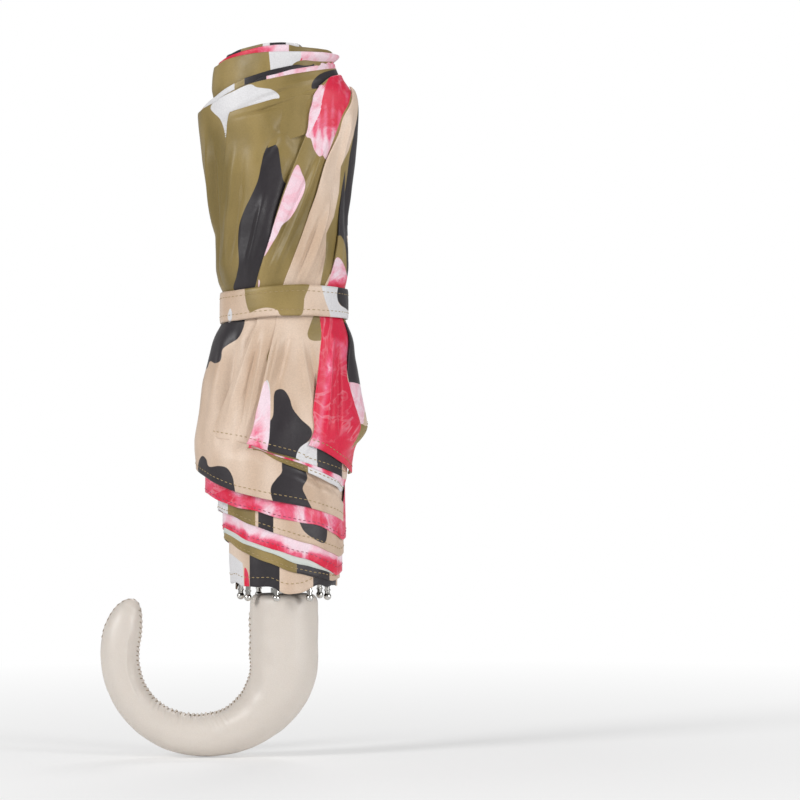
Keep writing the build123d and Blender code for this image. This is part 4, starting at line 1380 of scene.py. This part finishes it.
def canopy_stitches(builder, weights, section, radius, height, from_rib):
    """Stitches along a line of the opened canopy, then folded with it."""
    turn = np.radians(FIRST_RIB + from_rib)
    line = np.stack([radius * np.sin(turn), -radius * np.cos(turn), height], -1)
    lengths = np.linalg.norm(np.diff(line, axis=0), axis=1)
    travelled = np.concatenate([[0], np.cumsum(lengths)])

    def at(q):
        return np.array([np.interp(q, travelled, line[:, k]) for k in range(3)])

    for begin in np.arange(CANOPY_PITCH * 0.3, travelled[-1] - CANOPY_PITCH * 0.7,
                           CANOPY_PITCH):
        rings = []
        for share, width in ((0.0, 0.1), (0.2, 1.0), (0.8, 1.0), (1.0, 0.1)):
            q = begin + share * CANOPY_PITCH * 0.62
            centre = at(q)
            heading = at(q + 0.4) - centre
            heading /= np.linalg.norm(heading) + 1e-9
            reach = np.hypot(centre[0], centre[1]) + 1e-6
            side = np.cross(heading, [0.3 * centre[0] / reach, 0.3 * centre[1] / reach, 1.0])
            side /= np.linalg.norm(side) + 1e-9
            up = np.cross(side, heading)
            rings.append([centre + up * 0.25 + width * CANOPY_THREAD
                          * (math.cos(t) * side + math.sin(t) * up)
                          for t in (0, math.pi / 2, math.pi, 1.5 * math.pi)])
        rings = np.array(rings)
        bearing = np.degrees(np.arctan2(rings[..., 0], -rings[..., 1])) - FIRST_RIB
        middle = float(np.interp(begin, travelled, from_rib))
        bearing = middle + ((bearing - middle + 180) % 360 - 180)
        builder.grid(folded_points(np.hypot(rings[..., 0], rings[..., 1]), rings[..., 2],
                                   section), wrap_columns=True, slot=1)
        weights.append(spread_share(bearing).ravel())


def add_gore(builder, weights, section, start, end, rows, gore, sign):
    """One gore's cloth in one section."""
    down = np.linspace(0, 1, rows + 1)
    if section == "top":
        down = np.concatenate([np.linspace(0, 0.1, 13)[:-1], np.linspace(0.1, 1, rows - 2)])
    if section == "edge":
        down = np.concatenate([down, [1.0, 0.996, 0.965]])
    off_middle, down = np.meshgrid(np.linspace(-HALF_GORE, HALF_GORE, GORE_COLUMNS + 1), down)
    if section == "edge":
        end = hem_end(off_middle)
    along = start + (end - start) * down
    r, z = dome(along, off_middle, gore + 4 * (sign > 0))
    if section == "edge":
        # the last rows turn under
        under = np.array([-0.35, -0.7, -0.7])[:, None]
        z[-3:] += under
        r[-3:] += under * 0.55
    from_rib = (gore * 45 + HALF_GORE + off_middle) * sign
    cloth = along * RIB_LENGTH * (0.9 + 0.1 * np.cos(np.radians(off_middle)))
    turn = np.radians(from_rib * 0.96 + FIRST_RIB)
    builder.grid(folded_points(r, z, section),
                 print_repeat(cloth * np.sin(turn), cloth * np.cos(turn)), flip=sign > 0)
    weights.append(spread_share(from_rib).ravel())


def add_gore_stitches(builder, weights, section, start, end, gore, sign):
    """Stitches beside both seams, and along the hem in the edge section."""
    for seam in (-1, 1):
        along = np.linspace(start + 0.001, end - 0.001, 60)
        inset = np.degrees(np.minimum(2.6 / np.maximum(rib_point(along)[0], 14.0), 0.2))
        off_middle = seam * (HALF_GORE - inset)
        r, z = dome(along, off_middle, gore + 4 * (sign > 0))
        if section == "top":
            clear = r > 22
            r, z, off_middle = r[clear], z[clear], off_middle[clear]
        canopy_stitches(builder, weights, section, r, z,
                        (gore * 45 + HALF_GORE + off_middle) * sign)
    if section == "edge":
        off_middle = np.linspace(-22.1, 22.1, 70)
        r, z = dome(hem_end(off_middle) * 0.985, off_middle, gore + 4 * (sign > 0))
        canopy_stitches(builder, weights, section, r, z,
                        (gore * 45 + HALF_GORE + off_middle) * sign)


for side, sign in (("left", -1), ("right", 1)):
    for section, start, end, rows in SECTIONS:
        builder, weights = MeshBuilder(), []
        for gore in range(4):
            add_gore(builder, weights, section, start, end, rows // COARSE, gore, sign)
        for gore in range(4):
            add_gore_stitches(builder, weights, section, start, end, gore, sign)
        ob = builder.make("canopy_open_%s_%s" % (section, side), [FABRIC, THREAD_TAN])
        rib = {"top": "top_rib_1", "middle": "middle_rib_1", "edge": "tip_rib_1"}[section]
        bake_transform(ob, rib, "canopy_%s_%s" % (section, side), (0, 0, 0), (0, 0, 0.1))
        shares = np.concatenate(weights).astype(np.float32)
        ob.data.attributes["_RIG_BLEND"].data.foreach_set("value", shares)
        if section != "edge":
            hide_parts("canopy_%s_%s" % (section, side))


def build_loose_strap():
    """The strap as it lies on the opened canopy, beside the fifth rib's seam."""
    builder = MeshBuilder()
    down, across = np.meshgrid(np.linspace(0, 1, 70 // COARSE), np.linspace(-1, 1, 9),
                               indexing="ij")
    r, z = rib_point(0.985 - 0.36 * down)
    sideways = across * 8.4 - 1.0
    lift = 1.5 - 0.12 * across ** 4 + 0.22 * np.sin(down * 21) * 0.6
    colours = print_repeat(down * 190 + 40, sideways + 220)
    colours["d_pink"] = np.full(down.shape, -6.0)
    for flip, offset in ((False, 0.0), (True, -STRAP_THICKNESS)):
        points = folded_points(r + 0.55 * (lift + offset), z + 0.83 * (lift + offset), "edge",
                               FIRST_RIB + 180.0, sideways)
        builder.grid(points, colours, flip=flip)
    return builder.make("strap_loose_end", [FABRIC])


loose_strap = build_loose_strap()
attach(loose_strap, "tip_rib_5")

# ---- handle leather ------------------------------------------------------------
CROOK_CENTRE = (-44.0, -30.5)   # (x, z)
# (degrees round the crook, radius to the middle line, half width in x-z, half width in y)
CROOK = np.array([
    (-20, 44.0, 17.0, 15.6), (2, 44.0, 17.0, 15.6), (10, 44.45, 16.75, 15.4),
    (22, 44.5, 15.8, 14.8), (35, 43.7, 14.4, 13.8), (48, 42.9, 12.9, 12.6),
    (62, 42.0, 11.6, 11.5), (78, 40.6, 10.7, 10.7), (95, 39.9, 10.2, 10.2),
    (112, 39.6, 9.7, 9.8), (130, 39.2, 9.2, 9.4), (148, 38.7, 9.1, 9.3),
    (166, 38.3, 9.3, 9.3), (184, 38.3, 9.5, 9.3), (197, 38.5, 9.5, 9.1),
    (206, 38.9, 8.7, 8.3), (213, 39.4, 7.1, 6.7), (218, 39.8, 5.2, 4.8),
    (221.5, 40.1, 2.6, 2.4), (222.6, 40.2, 0.02, 0.02)])
# rounded top of the cover: (half width, z)
COVER_TOP = [(6.2, -1.6), (6.4, 0.0), (9.0, 0.25), (12.2, 0.28), (14.2, 0.0), (15.4, -0.7),
             (16.3, -1.8), (16.8, -3.2), (17.0, -5.0)]
# wrinkles inside the bend: (degrees, width, length, depth)
BEND_WRINKLES = [(86, 1.3, 6.5, 0.5), (93, 1.1, 5.0, 0.35), (79, 1.2, 4.5, 0.35),
                 (99, 0.9, 3.5, 0.25), (70, 1.2, 3.5, 0.22)]
LEATHER_COLUMNS = 200 // COARSE
WHIP_PITCH = 3.0
SOFT_WAVES = Waves(51, 10, 6, 18, (1, 1))
GATHER_WAVES = Waves(52, 9, 1.6, 4.2, (1.0, 0.16))


def crook_section(angle):
    """Radius and half widths, averaged over nearby angles except at the nose."""
    spread = [(0, 1.0)]
    if angle < 208:
        spread = [(-4, 0.1), (-2, 0.2), (0, 0.4), (2, 0.2), (4, 0.1)]
    return [sum(weight * np.interp(angle + offset, CROOK[:, 0], CROOK[:, column])
                for offset, weight in spread) for column in (1, 2, 3)]


def cover_rows():
    """(centre x, centre z, outward x, outward z, half width, half depth, crook degrees)."""
    rows = [(0.0, z, 1.0, 0.0, width, width - 1.4 * min(1.0, (width - 6) / 10), -1.0)
            for width, z in COVER_TOP]
    for z in np.arange(-5.6, -30.4, -0.55 * COARSE):
        rows.append((0.0, z, 1.0, 0.0, 17.0, 15.6, -1.0))
    for angle in np.concatenate([np.arange(0.0, 196, 0.7 * COARSE), np.arange(196, 218, 0.6),
                                 [218.5, 219.5, 220.5, 221.3, 221.9, 222.3, 222.55]]):
        radius, width, depth = crook_section(angle)
        t = math.radians(angle)
        rows.append((CROOK_CENTRE[0] + radius * math.cos(t),
                     CROOK_CENTRE[1] - radius * math.sin(t), math.cos(t), -math.sin(t),
                     width, depth, angle))
    return np.array(rows)


cover = cover_rows()
centres = np.stack([cover[:, 0], np.zeros(len(cover)), cover[:, 1]], 1)
cover_run = np.concatenate([[0], np.cumsum(np.linalg.norm(np.diff(centres, axis=0), axis=1))])
crook_degrees = cover[:, 6]


def build_leather():
    """The cover's points in mm, and its object."""
    # around is 0 on the outside of the crook and pi towards its centre
    around = np.arange(LEATHER_COLUMNS) * 2 * np.pi / LEATHER_COLUMNS
    centre_x, centre_z, out_x, out_z, width, depth, degrees = cover.T[:, :, None]
    run = cover_run[:, None]
    from_seam = np.maximum(width, depth) * (around - np.pi)
    away = np.abs(from_seam)
    # inner seam: two edges pinched together by the whip stitches
    body = sstep(run, 9.5, 13)
    pinch = 0.5 + 0.5 * np.cos(2 * np.pi * run / WHIP_PITCH)
    ridge = gauss(from_seam, 0, 1.7) * (0.15 + 0.70 * pinch) * body
    groove = -0.35 * gauss(from_seam, 0, 0.35) * body
    # fine gathers and a few deeper wrinkles round the inside of the bend
    zone = np.where(degrees >= 0, gauss(degrees, 92, 46), 0.0)
    gather = (zone * gauss(away, 1.0, 8.5) * 0.16
              * GATHER_WAVES(run + 0.25 * away, from_seam))
    deep = 0.0
    for angle, spread, length, fall in BEND_WRINKLES:
        # the wrinkle at 93 degrees is as deep on both sides of the seam
        sides = 1 if angle == 93 else from_seam < 0
        deep = deep - (fall * gauss(degrees - 0.10 * away, angle, spread * 0.55)
                       * sstep(away, length + 3, 1.0) * (0.4 + 0.6 * sides))
    soft = 0.05 * SOFT_WAVES(run, from_seam) * body
    # a crease along each side of the nose half
    crease_place = np.abs(around - np.pi) - 0.05 * np.sin(run * 0.06)
    crease = (0.28 * gauss(crease_place, 1.15, 0.11) * sstep(degrees, 120, 150)
              * (1 - sstep(degrees, 192, 206)))
    lift = (ridge + groove + gather + deep + soft + crease) * (1 - sstep(degrees, 214, 221))
    points = np.stack([centre_x + out_x * (width + lift) * np.cos(around),
                       (depth + lift) * np.sin(around),
                       centre_z + out_z * (width + lift) * np.cos(around)], -1)
    # darkening of the seam: the joint line itself, plus painted shade in the gaps between the pinches
    seam = gauss(from_seam, 0, 0.5) * body * (0.4 + 0.6 * (1 - pinch))
    rub = np.broadcast_to(gauss(around, 0, 0.5) * 0.5, seam.shape)
    builder = MeshBuilder()
    builder.grid(points * MM, {"seam": seam, "rub": rub}, wrap_columns=True, flip=True)
    return points, builder.make("leather_cover", [LEATHER])


leather_points, leather = build_leather()
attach(leather, "handle")
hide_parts("handle_leather")


def leather_place(row, column):
    """A point of the cover and its outward normal."""
    points = leather_points
    around = (points[row, (column + 2) % LEATHER_COLUMNS]
              - points[row, (column - 2) % LEATHER_COLUMNS])
    normal = np.cross(around, points[row + 1, column] - points[row - 1, column])
    normal /= max(np.linalg.norm(normal), 1e-9)
    if normal @ (points[row, column] - centres[row]) < 0:
        normal = -normal
    return points[row, column], normal


def add_seam_stitches(builder):
    """Whip stitches that come over the inner seam and down both sides."""
    first = int(np.argmax(cover_run > 12))
    run = cover_run[first:len(cover) - 6]
    marks = np.arange(math.ceil(run[0] / WHIP_PITCH) * WHIP_PITCH - WHIP_PITCH / 2, run[-1],
                      WHIP_PITCH)
    for side in (-1, 1):
        steps = []
        # (distance from the seam, slip along it)
        for arc, slip in ((0.0, 0.0), (1.5, 0.35), (2.7, 0.75), (3.7, 1.05)):
            places = []
            for mark in marks:
                row = first + int(np.argmin(np.abs(run - mark - slip)))
                spacing = leather_points[row, :, 1].max() * 2 * np.pi / LEATHER_COLUMNS
                column = LEATHER_COLUMNS // 2 + side * int(round(arc / spacing))
                places.append(leather_place(row, column))
            steps.append((np.array([p for p, _ in places]), np.array([n for _, n in places])))
        for k, end_lift in enumerate((0.12, 0.12, -0.12)):
            (start, start_normal), (end, end_normal) = steps[k], steps[k + 1]
            add_stitches(builder, (start + start_normal * 0.12) * MM,
                         (end + end_normal * end_lift) * MM, end_normal, 0.22 * MM)


def add_nose_stitches(builder):
    """Stitches round the nose, then back along the front of the outer side."""
    path, normals = [], []
    for angle, around in ([(q, math.pi) for q in np.arange(214, 222.4, 0.25)]
                          + [(q, -0.26) for q in np.arange(222.3, 188, -0.5)]):
        row = int(np.argmin(np.abs(crook_degrees - angle)))
        column = int(round(around / (2 * np.pi) * LEATHER_COLUMNS)) % LEATHER_COLUMNS
        path.append(leather_points[row, column] * MM)
        normal = leather_points[row, column] - centres[row]
        normal = normal / max(np.linalg.norm(normal), 1e-6)
        if angle > 219:
            t = math.radians(angle)
            normal = normal * 0.4 + np.array([-math.sin(t), 0, -math.cos(t)])
            normal /= np.linalg.norm(normal)
        normals.append(normal)
    stitch_path(builder, np.array(path), np.array(normals), pitch=WHIP_PITCH * MM, fill=0.5,
                radius=0.24 * MM, lift=0.08 * MM, slant=1.2 * MM)


whip = MeshBuilder()
add_seam_stitches(whip)
add_nose_stitches(whip)
whip_stitches = whip.make("leather_stitches", [THREAD_BEIGE])
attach(whip_stitches, "handle")


# ---- stage ---------------------------------------------------------------------
def floor_material():
    """Matt white that glows towards white away from the middle, for the camera only."""
    mat = Shader("floor_pale")
    mat.surface({"Base Color": (0.97, 0.97, 0.97, 1), "Roughness": 0.9})
    place = mat.node("ShaderNodeTexCoord").outputs["Object"]
    distance = mat.node("ShaderNodeVectorMath", {0: place}, operation="LENGTH")
    glow = mat.remap(distance.outputs["Value"], low=0.10, high=0.75, to_low=0.38, to_high=1.0)
    camera_ray = mat.node("ShaderNodeLightPath").outputs["Is Camera Ray"]
    blend = mat.node("ShaderNodeMixShader", {
        0: mat.times(glow, camera_ray), 1: mat.bsdf.outputs[0],
        2: mat.node("ShaderNodeEmission").outputs[0]})
    mat.plug(mat.output.inputs[0], blend.outputs[0])
    return mat.material


bpy.ops.mesh.primitive_circle_add(vertices=96, radius=1.6, fill_type="NGON",
                                  location=(0.05, 0, BOX_BEFORE[0][2] - 0.0006))
floor = bpy.context.object
floor.name = "floor"
floor.data.materials.append(floor_material())

scene = bpy.context.scene


def build_world(light_strength, camera_strength):
    """White surroundings that the camera sees brighter than they light the scene."""
    world = bpy.data.worlds.new("studio")
    scene.world = world
    world.use_nodes = True
    tree = world.node_tree
    background = tree.nodes["Background"]
    camera_ray = tree.nodes.new("ShaderNodeLightPath").outputs["Is Camera Ray"]
    strength = tree.nodes.new("ShaderNodeMix")
    strength.data_type = "FLOAT"
    tree.links.new(camera_ray, strength.inputs[0])
    strength.inputs[2].default_value = light_strength
    strength.inputs[3].default_value = camera_strength
    tree.links.new(strength.outputs[0], background.inputs[1])
    background.inputs[0].default_value = (1, 1, 1, 1)


def area_light(name, location, target, size, energy):
    light = bpy.data.lights.new(name, "AREA")
    light.shape = "RECTANGLE"
    light.size, light.size_y = size
    light.energy = energy
    ob = bpy.data.objects.new(name, light)
    scene.collection.objects.link(ob)
    ob.location = location
    direction = Vector(target) - Vector(location)
    ob.rotation_euler = direction.to_track_quat("-Z", "Y").to_euler()


build_world(light_strength=0.34, camera_strength=1.0)
area_light("key", location=(-2.6, -2.35, 1.64), target=(0, 0, 0.1), size=(0.88, 1.54), energy=76)
area_light("fill", location=(2.85, -2.2, 0.87), target=(0, 0, 0.1), size=(0.88, 1.76), energy=56)
area_light("rim", location=(0.66, 3.3, 2.7), target=(0, 0, 0.12), size=(1.76, 1.1), energy=29)

camera_data = bpy.data.cameras.new("camera")
camera = bpy.data.objects.new("camera", camera_data)
scene.collection.objects.link(camera)
camera_data.sensor_width = 36.0
camera_data.lens = 180.0
camera_data.clip_end = 50
camera.location = (0.058, -2.0, 0.097)
camera.rotation_euler = (math.radians(90), 0, 0)
scene.camera = camera
scene.view_settings.view_transform = "Standard"
